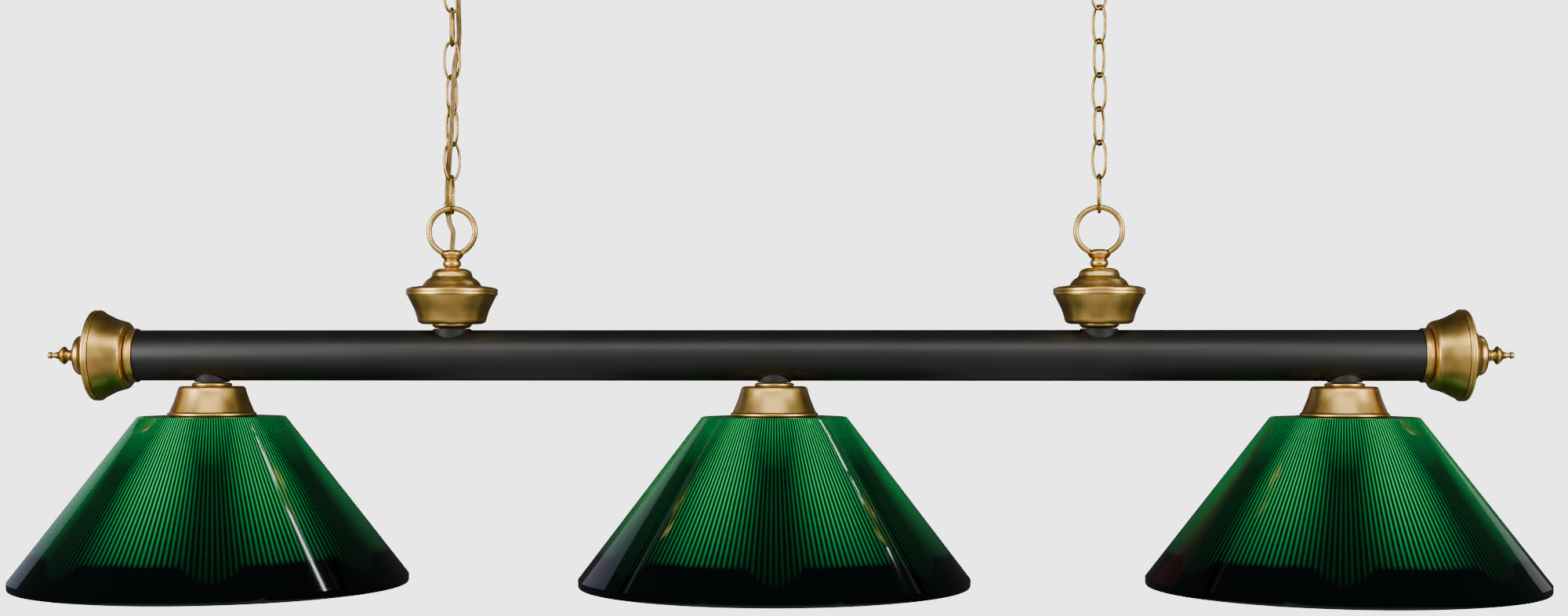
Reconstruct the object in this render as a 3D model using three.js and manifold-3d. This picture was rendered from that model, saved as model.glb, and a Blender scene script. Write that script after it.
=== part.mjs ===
// Pool table lamp: a long black tube hung from two chains, with three ribbed cone shades below it.
// Millimetres, +Z up, +X along the tube. The origin is on the ceiling, midway between the canopies.
import * as THREE from "three";
import { mergeVertices } from "three/addons/utils/BufferGeometryUtils.js";
import Module from "manifold-3d";

const wasm = await Module();
wasm.setup();

// Driving dimensions
const TUBE_LENGTH = 1219.2;
const TUBE_RADIUS = 24.15;
const TUBE_WALL = 1.5;
const DROP = 440; // ceiling plane above the tube's axis
const HANGER_X = 304.8;
const HOLDER_X = 533.4;
const GAP = 0.3; // clearance kept between neighbours

// Threaded fittings
const NIPPLE_RADIUS = 4.9;
const NIPPLE_BORE = 3.5;
const NIPPLE_HOLE = NIPPLE_RADIUS + GAP;
const STUD_RADIUS = 2.3;
const STUD_HOLE = STUD_RADIUS + 0.4;
const NUT_RADIUS = 8;
const NUT_TOP = 20.8;
const NUT_BOTTOM = 14;

// Chain: oval links of bent wire, numbered from the lamp upwards
const WIRE_RADIUS = 1.5;
const LINK_HALF_WIDTH = 7.3; // to the wire's centre
const LINK_HALF_HEIGHT = 17.55;
const LINK_BLUNTNESS = 2.3; // exponent of the oval, 2 is an ellipse
const LINK_SPLIT = 0.5; // gap where the wire's ends meet
const LINK_PITCH = 31.7;
const LEFT_TWISTS = [90, 25, -37, 63, 0, 90, 15];
const RIGHT_TWISTS = [78, -40, 47, -43, 45, -47, 15];

// Loops at both ends of each chain
const RING_RADIUS = 21.8; // to the wire's centre
const RING_WIRE = 2.7;
const LAMP_RING_Z = 117.1; // above the tube's axis
const FIRST_LINK_Z = 151.95;
const TOP_LINK_Z = FIRST_LINK_Z + (LEFT_TWISTS.length - 1) * LINK_PITCH;
const CEILING_RING_Z = TOP_LINK_Z + LINK_HALF_HEIGHT - RING_WIRE - WIRE_RADIUS - GAP + RING_RADIUS;

// Spacers between the tube's round and the flat seats of what is screwed to it
const HANGER_SADDLE = { radius: 18, height: 25.4 };
const HOLDER_SADDLE = { radius: 16.3, height: 25.5 };
const SADDLE_FOOT = 13.3; // above the tube's axis, inside the round that is cut away

// Bell stacks: the heights are for a hanger, above the tube's axis
const END_SHIFT = 27.5; // how far an end bell sits inwards, past the tube's end
const SPIGOT_WALL = 1.6;
const SPIGOT_DEPTH = 14;

// Turned stem of a loop, solid before it is drilled
const STEM_FOOT = 82.5;
const STEM_PROFILE = [
  [0, STEM_FOOT],
  [6.6, STEM_FOOT],
  [8.4, 84.6],
  [8.3, 87.4],
  [7.3, 90.0],
  [9.8, 92.4],
  [11.2, 95.8],
  [9.0, 98.9],
  [5.4, 99.8],
  [0, 99.8],
];
const THREAD_TOP = 92.8; // how far up the stem its thread goes
const EYE_FLOOR = 104; // clear of the stem, inside the eye
const NIPPLE_FOOT = 12;
const NIPPLE_TOP = 92.4;

// Ceiling fittings
const CANOPY_RADIUS = 65;
const CEILING_PIPE_FOOT = 405;
const CROSSBAR = { length: 104, width: 16, thickness: 2.5 };
const SCREW_X = 42;
const SCREW_HOLE = 2.2;

// Shade
const DECK_Z = -57.5;
const DECK_RADIUS = 68;
const DECK_HOLE = 21;
const RIM_RADIUS = 184.3;
const SHADE_FOOT_Z = -217.2;
const SHADE_WALL = 3.6;

// Supply cord
const CORD_RADIUS = 1.9;
const CORD_SIDES = 8;
const CORD_STEPS = 34;
const CUT = 2; // how far a cutting tool runs past what it cuts

const ROUND_SIDES = 24; // the tube and what fits over it
const TURNED_SIDES = 16;
const SMALL_SIDES = 12;
const SHADE_SIDES = 28;
const NUT_SIDES = 6;
const WIRE_SIDES = 6;
const RING_STEPS = 18;
const LINK_STEPS = 16;

const BLACK = { color: 0x22211d, roughness: 0.45, metalness: 0.6 };
const BRASS = { color: 0x9f7f3f, roughness: 0.35, metalness: 1.0 };
const STEEL = { color: 0x9a9a98, roughness: 0.4, metalness: 1.0 };
const GREEN = { color: 0x0d6d38, roughness: 0.12, metalness: 0.0 };
const PHENOLIC = { color: 0x17130f, roughness: 0.5, metalness: 0.0 };
const OPAL = { color: 0xf3f1ea, roughness: 0.3, metalness: 0.0 };
const CLEAR_GOLD = { color: 0xa58648, roughness: 0.3, metalness: 0.2 };

// ---------- making solids ----------

function bare(geometry) {
  geometry.deleteAttribute("normal");
  geometry.deleteAttribute("uv");
  return mergeVertices(geometry, 1e-4);
}

function toSolid(geometry) {
  const merged = bare(geometry);
  const mesh = new wasm.Mesh({
    numProp: 3,
    vertProperties: new Float32Array(merged.attributes.position.array),
    triVerts: new Uint32Array(merged.index.array),
  });
  return new wasm.Manifold(mesh);
}

function toGeometry(solid) {
  const mesh = solid.getMesh();
  const geometry = new THREE.BufferGeometry();
  geometry.setAttribute("position", new THREE.BufferAttribute(mesh.vertProperties, 3));
  geometry.setIndex(new THREE.BufferAttribute(mesh.triVerts, 1));
  return geometry;
}

// Turns a closed profile of [radius, height] pairs about Z. The profile runs anticlockwise.
function turned(profile, sides = TURNED_SIDES) {
  const points = profile.map(([radius, height]) => new THREE.Vector2(radius, height));
  const first = profile[0];
  if (first[0] > 0) {
    points.push(new THREE.Vector2(first[0], first[1]));
  }
  const geometry = new THREE.LatheGeometry(points, sides);
  geometry.rotateX(Math.PI / 2);
  return geometry;
}

function cylinder(radius, bottom, top, sides = TURNED_SIDES) {
  return turned([[0, bottom], [radius, bottom], [radius, top], [0, top]], sides);
}

function lyingCylinder(radius, length, sides) {
  const geometry = new THREE.CylinderGeometry(radius, radius, length, sides);
  geometry.rotateZ(Math.PI / 2);
  return geometry;
}

function hexNut(bottom, top) {
  return cylinder(NUT_RADIUS, bottom, top, NUT_SIDES);
}

function piece(name, geometry, finish) {
  const mesh = new THREE.Mesh(geometry, new THREE.MeshStandardMaterial(finish));
  mesh.name = name;
  return mesh;
}

// Flips a profile or a height over, keeping the anticlockwise order
function upsideDown(profile, height) {
  return profile.map(([radius, z]) => [radius, height - z]).reverse();
}

// ---------- the bar ----------

function mainTube() {
  const inner = TUBE_RADIUS - TUBE_WALL;
  let solid = toSolid(lyingCylinder(TUBE_RADIUS, TUBE_LENGTH, ROUND_SIDES));
  solid = solid.subtract(toSolid(lyingCylinder(inner, TUBE_LENGTH + CUT, ROUND_SIDES)));
  for (const x of [-HANGER_X, HANGER_X]) {
    const drill = cylinder(NIPPLE_HOLE, 0, TUBE_RADIUS + CUT, SMALL_SIDES);
    drill.translate(x, 0, 0);
    solid = solid.subtract(toSolid(drill));
  }
  for (const x of [-HOLDER_X, 0, HOLDER_X]) {
    const drill = cylinder(NIPPLE_HOLE, -TUBE_RADIUS - CUT, 0, SMALL_SIDES);
    drill.translate(x, 0, 0);
    solid = solid.subtract(toSolid(drill));
  }
  return toGeometry(solid);
}

// A spacer that fits the tube's round on one side and is flat on the other, standing up
function saddle({ radius, height }) {
  const block = cylinder(radius, SADDLE_FOOT, height);
  const round = lyingCylinder(TUBE_RADIUS + GAP, 4 * radius, ROUND_SIDES);
  const bore = cylinder(NIPPLE_HOLE, 0, height + CUT, SMALL_SIDES);
  return toGeometry(toSolid(block).subtract(toSolid(round)).subtract(toSolid(bore)));
}

// ---------- bell stacks: hangers and tube ends ----------

function hangerCollar() {
  return turned([
    [NIPPLE_HOLE, 25.7],
    [15.8, 25.7],
    [18.8, 28.2],
    [18.8, 30.0],
    [17.6, 31.0],
    [NIPPLE_HOLE, 31.0],
  ]);
}

function bellProfile(hole) {
  return [
    [hole, 31.3],
    [19.6, 31.3],
    [24.0, 29.3],
    [28.5, 29.6],
    [31.4, 31.9],
    [33.2, 36.0],
    [35.2, 43.0],
    [38.6, 50.0],
    [42.0, 56.6],
    [40.2, 56.6],
    [36.8, 50.4],
    [33.4, 43.4],
    [30.4, 34.6],
    [28.0, 32.9],
    [hole, 32.9],
  ];
}

function coverProfile(hole) {
  return [
    [hole, 80.6],
    [9.0, 80.6],
    [15.6, 77.8],
    [17.8, 73.0],
    [23.4, 67.6],
    [26.0, 65.0],
    [40.4, 61.8],
    [41.2, 56.9],
    [43.1, 56.9],
    [43.1, 62.3],
    [37.6, 64.8],
    [27.0, 66.4],
    [24.9, 69.0],
    [19.8, 73.6],
    [17.4, 79.0],
    [10.0, 82.2],
    [hole, 82.2],
  ];
}

// A loop's round eye, in the XZ plane
function eyeRing() {
  const ring = new THREE.TorusGeometry(RING_RADIUS, RING_WIRE, WIRE_SIDES, RING_STEPS);
  ring.rotateX(Math.PI / 2);
  return ring;
}

// The hanger's turned stem with its round eye, bored through for the cord
function lampLoop() {
  const stem = turned(STEM_PROFILE, SMALL_SIDES);
  const ring = eyeRing();
  ring.translate(0, 0, LAMP_RING_Z);
  const thread = cylinder(NIPPLE_HOLE, STEM_FOOT - CUT, THREAD_TOP, SMALL_SIDES);
  const cordHole = cylinder(NIPPLE_BORE, STEM_FOOT - CUT, EYE_FLOOR, SMALL_SIDES);
  const solid = toSolid(stem).add(toSolid(ring));
  return toGeometry(solid.subtract(toSolid(thread)).subtract(toSolid(cordHole)));
}

// The hollow threaded pipe that ties the loop, the bell and the tube together, with its lock nut
function hangerNipple() {
  const pipe = toSolid(cylinder(NIPPLE_RADIUS, NIPPLE_FOOT, NIPPLE_TOP, SMALL_SIDES));
  const nut = toSolid(hexNut(NUT_BOTTOM, NUT_TOP));
  const bore = toSolid(cylinder(NIPPLE_BORE, NIPPLE_FOOT - CUT, NIPPLE_TOP + CUT, SMALL_SIDES));
  return toGeometry(pipe.add(nut).subtract(bore));
}

// Cap over the tube's end, with a skirt outside it and a spigot inside it. Heights run outwards.
function endCollar() {
  const spigot = TUBE_RADIUS - TUBE_WALL - GAP;
  return turned([
    [STUD_HOLE, -1.5],
    [spigot - SPIGOT_WALL, -1.5],
    [spigot - SPIGOT_WALL, -SPIGOT_DEPTH],
    [spigot, -SPIGOT_DEPTH],
    [spigot, GAP],
    [TUBE_RADIUS + GAP, GAP],
    [TUBE_RADIUS + GAP, -6],
    [25.3, -6],
    [25.8, -5.4],
    [25.8, 0.9],
    [25.2, 1.4],
    [18.0, 1.4],
    [17.0, 3.4],
    [STUD_HOLE, 3.4],
  ], ROUND_SIDES);
}

// Finial with its long screw, heights running outwards from the tube's end
function finial() {
  return turned([
    [0, -12],
    [STUD_RADIUS, -12],
    [STUD_RADIUS, 55],
    [7.6, 55],
    [5.4, 59.2],
    [5.8, 61.8],
    [8.6, 64.9],
    [7.4, 67.3],
    [3.4, 71.4],
    [2.3, 75.2],
    [3.3, 77.9],
    [2.6, 80.0],
    [0, 81.0],
  ], SMALL_SIDES);
}

// ---------- lampholders ----------

function holderCup() {
  return turned([
    [NIPPLE_HOLE, -30.7],
    [28.0, -31.0],
    [30.0, -35.0],
    [32.6, -42.8],
    [36.2, -50.6],
    [39.4, -57.2],
    [40.6, -57.2],
    [41.3, -55.8],
    [38.2, -50.0],
    [34.4, -42.2],
    [31.8, -34.6],
    [30.3, -30.4],
    [27.0, -28.9],
    [18.0, -28.8],
    [18.85, -28.1],
    [18.85, -26.7],
    [17.0, -25.8],
    [NIPPLE_HOLE, -25.8],
  ]);
}

// Lampholder body with its hollow threaded stem and lock nut
function socket() {
  const body = toSolid(turned([
    [NIPPLE_BORE, -47],
    [14.2, -49],
    [14.2, -86],
    [17.4, -86],
    [18.7, -84.6],
    [18.7, -39],
    [14, -36],
    [NIPPLE_RADIUS, -35],
    [NIPPLE_RADIUS, -NIPPLE_FOOT],
    [NIPPLE_BORE, -NIPPLE_FOOT],
  ], SMALL_SIDES));
  const nut = toSolid(hexNut(-NUT_TOP, -NUT_BOTTOM));
  const bore = toSolid(cylinder(NIPPLE_BORE, -NUT_TOP - CUT, -NUT_BOTTOM + CUT, SMALL_SIDES));
  return toGeometry(body.add(nut.subtract(bore)));
}

// Ring screwed up the lampholder, which clamps the shade's deck against the cup
function shadeRing() {
  return turned([
    [19.3, -65.6],
    [25.6, -65.6],
    [27.0, -64.4],
    [27.0, -61.4],
    [19.3, -61.4],
  ]);
}

// Straight-sided cone with a flat top deck and a slightly thicker lip
function shade() {
  const foot = SHADE_FOOT_Z;
  return turned([
    [DECK_HOLE, DECK_Z - SHADE_WALL],
    [DECK_RADIUS - 1.8, DECK_Z - SHADE_WALL],
    [RIM_RADIUS - 5.0, foot + 9.5],
    [RIM_RADIUS - 4.4, foot + 1.6],
    [RIM_RADIUS - 3.6, foot],
    [RIM_RADIUS - 1.2, foot],
    [RIM_RADIUS, foot + 1.6],
    [RIM_RADIUS, foot + 8.4],
    [DECK_RADIUS + 0.9, DECK_Z - 0.9],
    [DECK_RADIUS - 0.6, DECK_Z],
    [DECK_HOLE, DECK_Z],
  ], SHADE_SIDES);
}

function bulb() {
  return turned([
    [0, -161.3],
    [8, -160.8],
    [18, -157.4],
    [27, -147],
    [30, -132],
    [29.4, -124],
    [24, -108],
    [15.5, -92],
    [13, -86.6],
    [13, -56],
    [8, -52],
    [0, -51.2],
  ], SMALL_SIDES);
}

// ---------- chains ----------

// A point on a link's oval, the angle being measured from its right side
class OvalWire extends THREE.Curve {
  getPoint(t, target = new THREE.Vector3()) {
    const open = LINK_SPLIT / LINK_HALF_HEIGHT;
    const angle = open / 2 + t * (2 * Math.PI - open);
    const power = 2 / LINK_BLUNTNESS;
    const across = Math.sign(Math.cos(angle)) * Math.abs(Math.cos(angle)) ** power;
    const up = Math.sign(Math.sin(angle)) * Math.abs(Math.sin(angle)) ** power;
    return target.set(LINK_HALF_WIDTH * across, 0, LINK_HALF_HEIGHT * up);
  }

  getPointAt(t, target) {
    return this.getPoint(t, target);
  }
}

function wireSection(radius, sides) {
  const section = new THREE.Shape();
  for (let i = 0; i < sides; i++) {
    const angle = (2 * Math.PI * i) / sides;
    const x = radius * Math.cos(angle);
    const y = radius * Math.sin(angle);
    if (i === 0) {
      section.moveTo(x, y);
    } else {
      section.lineTo(x, y);
    }
  }
  section.closePath();
  return section;
}

function chainLink() {
  return new THREE.ExtrudeGeometry(wireSection(WIRE_RADIUS, WIRE_SIDES), {
    steps: LINK_STEPS,
    bevelEnabled: false,
    extrudePath: new OvalWire(),
  });
}

function chain(side, x, twists) {
  const links = new THREE.Group();
  twists.forEach((twist, i) => {
    const link = piece(`${side}_link_${i + 1}`, chainLink(), BRASS);
    link.position.set(x, 0, FIRST_LINK_Z + i * LINK_PITCH);
    link.rotation.z = THREE.MathUtils.degToRad(twist);
    links.add(link);
  });
  return links;
}

// ---------- ceiling fittings, heights above the tube's axis ----------

// The same loop and stem upside down, on a nipple that screws into the crossbar
function ceilingLoop() {
  const middle = LAMP_RING_Z + CEILING_RING_Z;
  const stem = turned(upsideDown(STEM_PROFILE, middle), SMALL_SIDES);
  const ring = eyeRing();
  ring.rotateZ(Math.PI / 2);
  ring.translate(0, 0, CEILING_RING_Z);
  const pipe = cylinder(NIPPLE_RADIUS, CEILING_PIPE_FOOT, DROP - 1, SMALL_SIDES);
  const cordHole = cylinder(NIPPLE_BORE, middle - EYE_FLOOR, DROP + CUT, SMALL_SIDES);
  const solid = toSolid(stem).add(toSolid(ring)).add(toSolid(pipe));
  return toGeometry(solid.subtract(toSolid(cordHole)));
}

function canopy() {
  const seat = LAMP_RING_Z + CEILING_RING_Z - STEM_FOOT + GAP; // above the loop's shoulder
  return turned([
    [NIPPLE_HOLE, seat],
    [15, seat],
    [32, seat + 2.4],
    [50, seat + 9],
    [61, seat + 18.5],
    [CANOPY_RADIUS, DROP - 3],
    [CANOPY_RADIUS, DROP],
    [CANOPY_RADIUS - 1.8, DROP],
    [59.4, seat + 19.4],
    [49, seat + 10.8],
    [31.6, seat + 4.2],
    [NIPPLE_HOLE, seat + 1.8],
  ]);
}

function crossbar() {
  const { length, width, thickness } = CROSSBAR;
  const bar = new THREE.BoxGeometry(length, width, thickness);
  bar.translate(0, 0, DROP - thickness / 2);
  const bottom = DROP - thickness - CUT;
  const hole = cylinder(NIPPLE_HOLE, bottom, DROP + CUT, SMALL_SIDES);
  let solid = toSolid(bar).subtract(toSolid(hole));
  for (const x of [-SCREW_X, SCREW_X]) {
    const screwHole = cylinder(SCREW_HOLE, bottom, DROP + CUT, SMALL_SIDES);
    screwHole.translate(x, 0, 0);
    solid = solid.subtract(toSolid(screwHole));
  }
  return toGeometry(solid);
}

// ---------- supply cord ----------

// Route from the ceiling loop down the left chain into the lamp's loop, from the chain's own axis
const CORD_ROUTE = [
  [0, 0, 402],
  [0, 0, 392],
  [2.4, -1.6, 380],
  [6.2, -4.2, 368],
  [7.6, -5.8, 357],
  [7.0, -5.6, 345],
  [6.6, -4.2, 332],
  [6.5, -1.2, 320],
  [6.3, 2.0, 309],
  [5.6, 4.2, 299],
  [4.6, 4.3, 289],
  [3.1, 0.6, 279],
  [2.7, -3.7, 268],
  [2.2, -5.4, 258],
  [1.8, -5.7, 247],
  [1.6, -6.2, 236],
  [1.1, -5.8, 227],
  [0.6, -5.6, 215],
  [0, -5.2, 205],
  [-0.8, -5.0, 197],
  [-1.8, -3.6, 190],
  [-2.8, -0.4, 183],
  [-3.8, 3.0, 175],
  [-4.9, 4.0, 167],
  [-5.2, 4.0, 157],
  [-5.2, 4.4, 148],
  [-5.0, 5.8, 140],
  [-4.3, 4.6, 132],
  [-2.4, 1.8, 124.5],
  [0.7, 0.2, 117.5],
  [0.8, 0, 111.5],
  [0.2, 0, 105],
  [0, 0, 99],
  [0, 0, 93.4],
];

function lampCord() {
  const points = CORD_ROUTE.map(([x, y, z]) => new THREE.Vector3(x, y, z));
  return new THREE.ExtrudeGeometry(wireSection(CORD_RADIUS, CORD_SIDES), {
    steps: CORD_STEPS,
    bevelEnabled: false,
    extrudePath: new THREE.CatmullRomCurve3(points),
  });
}

// ---------- assembly ----------

function hanger(side, x) {
  const group = new THREE.Group();
  group.add(piece(`${side}_hanger_saddle`, saddle(HANGER_SADDLE), BLACK));
  group.add(piece(`${side}_hanger_collar`, hangerCollar(), BRASS));
  group.add(piece(`${side}_hanger_bell`, turned(bellProfile(NIPPLE_HOLE)), BRASS));
  group.add(piece(`${side}_hanger_cover`, turned(coverProfile(NIPPLE_HOLE)), BRASS));
  group.add(piece(`${side}_hanger_loop`, lampLoop(), BRASS));
  group.add(piece(`${side}_hanger_nipple`, hangerNipple(), STEEL));
  group.position.x = x;
  return group;
}

function tubeEnd(side, facing) {
  const stack = new THREE.Group();
  const bell = piece(`${side}_end_bell`, turned(bellProfile(STUD_HOLE)), BRASS);
  const cover = piece(`${side}_end_cover`, turned(coverProfile(STUD_HOLE)), BRASS);
  bell.position.z = -END_SHIFT;
  cover.position.z = -END_SHIFT;
  stack.add(piece(`${side}_end_collar`, endCollar(), BRASS));
  stack.add(bell);
  stack.add(cover);
  stack.add(piece(`${side}_finial`, finial(), BRASS));
  stack.rotation.y = (facing * Math.PI) / 2;
  stack.position.x = (facing * TUBE_LENGTH) / 2;
  return stack;
}

function lampholder(place, x) {
  const group = new THREE.Group();
  const spacer = piece(`${place}_holder_saddle`, saddle(HOLDER_SADDLE), BLACK);
  spacer.rotation.x = Math.PI;
  group.add(spacer);
  group.add(piece(`${place}_holder_cup`, holderCup(), BRASS));
  group.add(piece(`${place}_socket`, socket(), PHENOLIC));
  group.add(piece(`${place}_shade_ring`, shadeRing(), PHENOLIC));
  group.add(piece(`${place}_shade`, shade(), GREEN));
  group.add(piece(`${place}_bulb`, bulb(), OPAL));
  group.position.x = x;
  return group;
}

function ceilingFitting(side, x) {
  const group = new THREE.Group();
  group.add(piece(`${side}_canopy`, canopy(), BRASS));
  group.add(piece(`${side}_crossbar`, crossbar(), STEEL));
  group.add(piece(`${side}_ceiling_loop`, ceilingLoop(), BRASS));
  group.position.x = x;
  return group;
}

const lamp = new THREE.Group();
lamp.add(piece("main_tube", mainTube(), BLACK));
lamp.add(hanger("left", -HANGER_X));
lamp.add(hanger("right", HANGER_X));
lamp.add(tubeEnd("left", -1));
lamp.add(tubeEnd("right", 1));
lamp.add(lampholder("left", -HOLDER_X));
lamp.add(lampholder("centre", 0));
lamp.add(lampholder("right", HOLDER_X));
lamp.add(chain("left", -HANGER_X, LEFT_TWISTS));
lamp.add(chain("right", HANGER_X, RIGHT_TWISTS));
lamp.add(ceilingFitting("left", -HANGER_X));
lamp.add(ceilingFitting("right", HANGER_X));

const cord = piece("lamp_cord", lampCord(), CLEAR_GOLD);
cord.position.x = -HANGER_X;
lamp.add(cord);
lamp.position.z = -DROP;

const poolTableLamp = new THREE.Group();
poolTableLamp.add(lamp);

export default poolTableLamp;
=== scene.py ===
"""Pool table lamp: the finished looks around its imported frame.

Everything is in metres in the frame's own axes: +Z up, +X along the tube, the ceiling at zero.
Profiles are written in millimetres from the tube's axis, as a turner would read them.
"""

import logging
import math
from dataclasses import dataclass
from enum import Enum

import bmesh
import bpy
from mathutils import Matrix, Vector


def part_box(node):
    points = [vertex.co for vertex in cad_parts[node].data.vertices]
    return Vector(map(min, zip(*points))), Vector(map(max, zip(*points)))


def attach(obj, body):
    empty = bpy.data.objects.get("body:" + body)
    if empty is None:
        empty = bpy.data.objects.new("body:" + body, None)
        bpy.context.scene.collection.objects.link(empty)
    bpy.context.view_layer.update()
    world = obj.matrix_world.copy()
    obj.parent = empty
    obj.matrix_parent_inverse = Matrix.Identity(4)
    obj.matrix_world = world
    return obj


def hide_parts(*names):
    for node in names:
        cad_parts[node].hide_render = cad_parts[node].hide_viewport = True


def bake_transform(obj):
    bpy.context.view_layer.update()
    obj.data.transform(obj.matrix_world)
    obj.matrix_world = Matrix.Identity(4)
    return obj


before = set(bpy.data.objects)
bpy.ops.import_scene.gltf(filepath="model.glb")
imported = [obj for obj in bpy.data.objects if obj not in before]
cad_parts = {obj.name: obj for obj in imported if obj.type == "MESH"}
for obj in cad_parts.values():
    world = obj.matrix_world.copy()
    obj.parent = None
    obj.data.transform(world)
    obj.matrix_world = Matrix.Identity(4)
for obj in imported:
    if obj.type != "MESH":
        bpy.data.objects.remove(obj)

LOG = logging.getLogger("lamp")
MM = 0.001

# sizes that several pieces share, in millimetres
PIPE_HOLE = 5.2
STUD_HOLE = 2.7
CORD_BORE = 3.5
GAP = 0.3
STEM_FOOT = 82.5
EYE_HEIGHT = 117.1
EYE_RADIUS = 21.8
EYE_WIRE = 2.7
RIB_COUNT = 200

# a corner of a profile: radius, height, and the radius that rounds it
Corner = tuple[float, float, float]

# a place along a cord: right, back and up from where the left hanger's axis crosses the tube's
Spot = tuple[float, float, float]


class Side(Enum):
    """The two halves of the lamp, with the way each one faces along X."""

    LEFT = ("left", -1)
    RIGHT = ("right", 1)

    @property
    def word(self) -> str:
        """The side's name, as it stands in node names."""
        return self.value[0]

    @property
    def facing(self) -> int:
        """-1 on the left, 1 on the right."""
        return self.value[1]


# ---------- finding places in the frame ----------


def centre_of(node: str) -> Vector:
    """The middle of a node's box.

    Args:
        node: the frame node's name.

    Returns:
        The middle, in metres.
    """
    low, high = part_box(node)
    return (low + high) / 2


def tube_axis() -> float:
    """The height of the tube's axis, in metres."""
    return centre_of("main_tube").z


def tube_size() -> tuple[float, float]:
    """The tube's radius and half its length, in metres."""
    low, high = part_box("main_tube")
    return (high.z - low.z) / 2, (high.x - low.x) / 2


def above_axis(height: float) -> float:
    """A height in metres as millimetres above the tube's axis."""
    return (height - tube_axis()) / MM


def place(x: float) -> Matrix:
    """The frame in which profiles are written.

    Args:
        x: where the piece's own axis crosses the tube, in metres.

    Returns:
        A matrix from millimetres above the tube's axis to the frame.
    """
    return Matrix.Translation((x, 0.0, tube_axis())) @ Matrix.Scale(MM, 4)


# ---------- mesh tools ----------


def new_object(name: str, data: bpy.types.ID) -> bpy.types.Object:
    """Puts a mesh, light or camera in the scene as an untransformed object.

    Args:
        name: the object's name.
        data: what it shows.

    Returns:
        The new object.
    """
    thing = bpy.data.objects.new(name, data)
    bpy.context.scene.collection.objects.link(thing)
    return thing


def new_piece(name: str, mesh: bmesh.types.BMesh) -> bpy.types.Object:
    """Makes a piece from a mesh under construction.

    Args:
        name: the piece's name.
        mesh: its mesh, with its place already in it; it is used up.

    Returns:
        The new object.
    """
    data = bpy.data.meshes.new(name)
    mesh.to_mesh(data)
    mesh.free()
    return new_object(name, data)


def rounded(corners: list[Corner], steps: int = 5) -> list[tuple[float, float, float]]:
    """Rounds the corners of a closed profile.

    Args:
        corners: the profile's corners, anticlockwise, each with its own rounding.
        steps: how many pieces each rounded corner has.

    Returns:
        Points as (radius, height, recess), recess being 1 in an inward corner.
    """
    points = []
    count = len(corners)
    for i, (radius, height, fillet) in enumerate(corners):
        here = Vector((radius, height))
        before = Vector(corners[i - 1][:2]) - here
        after = Vector(corners[(i + 1) % count][:2]) - here
        turn = before.x * after.y - before.y * after.x
        recess = 1.0 if turn > 0 and radius > 0 else 0.0
        if fillet <= 0:
            points.append((radius, height, 0.0))
            continue
        reach = min(fillet, before.length * 0.49, after.length * 0.49)
        start = here + before.normalized() * reach
        end = here + after.normalized() * reach
        for k in range(steps + 1):
            t = k / steps
            spot = start * (1 - t) ** 2 + here * 2 * t * (1 - t) + end * t ** 2
            points.append((spot.x, spot.y, recess))
    return points


def turned(name: str, corners: list[Corner], matrix: Matrix, sides: int = 96) -> bpy.types.Object:
    """Turns a closed profile about its axis, as on a lathe.

    The UV map "turn" holds the angle and the way along the profile, each from 0 to 1. The
    attribute "recess" is 1 in the inward corners, where a patina stays.

    Args:
        name: the piece's name.
        corners: the profile, anticlockwise, in millimetres.
        matrix: from the profile's frame to the frame.
        sides: how many steps there are round the axis.

    Returns:
        The turned piece.
    """
    profile = rounded(corners)
    lengths = [0.0]
    for a, b in zip(profile, profile[1:] + profile[:1]):
        lengths.append(lengths[-1] + math.dist(a[:2], b[:2]))
    mesh = bmesh.new()
    uv = mesh.loops.layers.uv.new("turn")
    recess = mesh.verts.layers.float.new("recess")
    rings = []
    for radius, height, depth in profile:
        around = 1 if radius < 1e-6 else sides
        ring = []
        for k in range(around):
            angle = 2 * math.pi * k / sides
            spot = Vector((radius * math.cos(angle), radius * math.sin(angle), height))
            vert = mesh.verts.new(matrix @ spot)
            vert[recess] = depth
            ring.append(vert)
        rings.append(ring)
    count = len(rings)
    for i in range(count):
        low, high = rings[i], rings[(i + 1) % count]
        if len(low) == 1 and len(high) == 1:
            continue
        ends = lengths[i] / lengths[-1], lengths[i + 1] / lengths[-1]
        for k in range(sides):
            after = (k + 1) % sides
            corner = [(low[k % len(low)], k, 0), (low[after % len(low)], k + 1, 0)]
            corner += [(high[after % len(high)], k + 1, 1), (high[k % len(high)], k, 1)]
            seen = {}
            for vert, turn, end in corner:
                seen.setdefault(vert, (turn, end))
            face = mesh.faces.new(list(seen))
            for loop, (turn, end) in zip(face.loops, seen.values()):
                loop[uv].uv = (turn / sides, ends[end])
    bmesh.ops.recalc_face_normals(mesh, faces=mesh.faces)
    piece = new_piece(name, mesh)
    smooth(piece.data)
    return piece


def smooth(mesh: bpy.types.Mesh, angle: float = 35.0) -> None:
    """Smooth shading with the edges sharper than an angle kept sharp.

    Args:
        mesh: the mesh to shade.
        angle: the sharpest edge that is still smoothed, in degrees.
    """
    mesh.shade_smooth()
    mesh.set_sharp_from_angle(angle=math.radians(angle))


def bake(piece: bpy.types.Object) -> None:
    """Turns a piece's modifiers into plain mesh.

    Args:
        piece: the object whose modifiers are to be applied.
    """
    bpy.context.view_layer.update()
    seen = piece.evaluated_get(bpy.context.evaluated_depsgraph_get())
    mesh = bpy.data.meshes.new_from_object(seen)
    piece.modifiers.clear()
    piece.data = mesh


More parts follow.
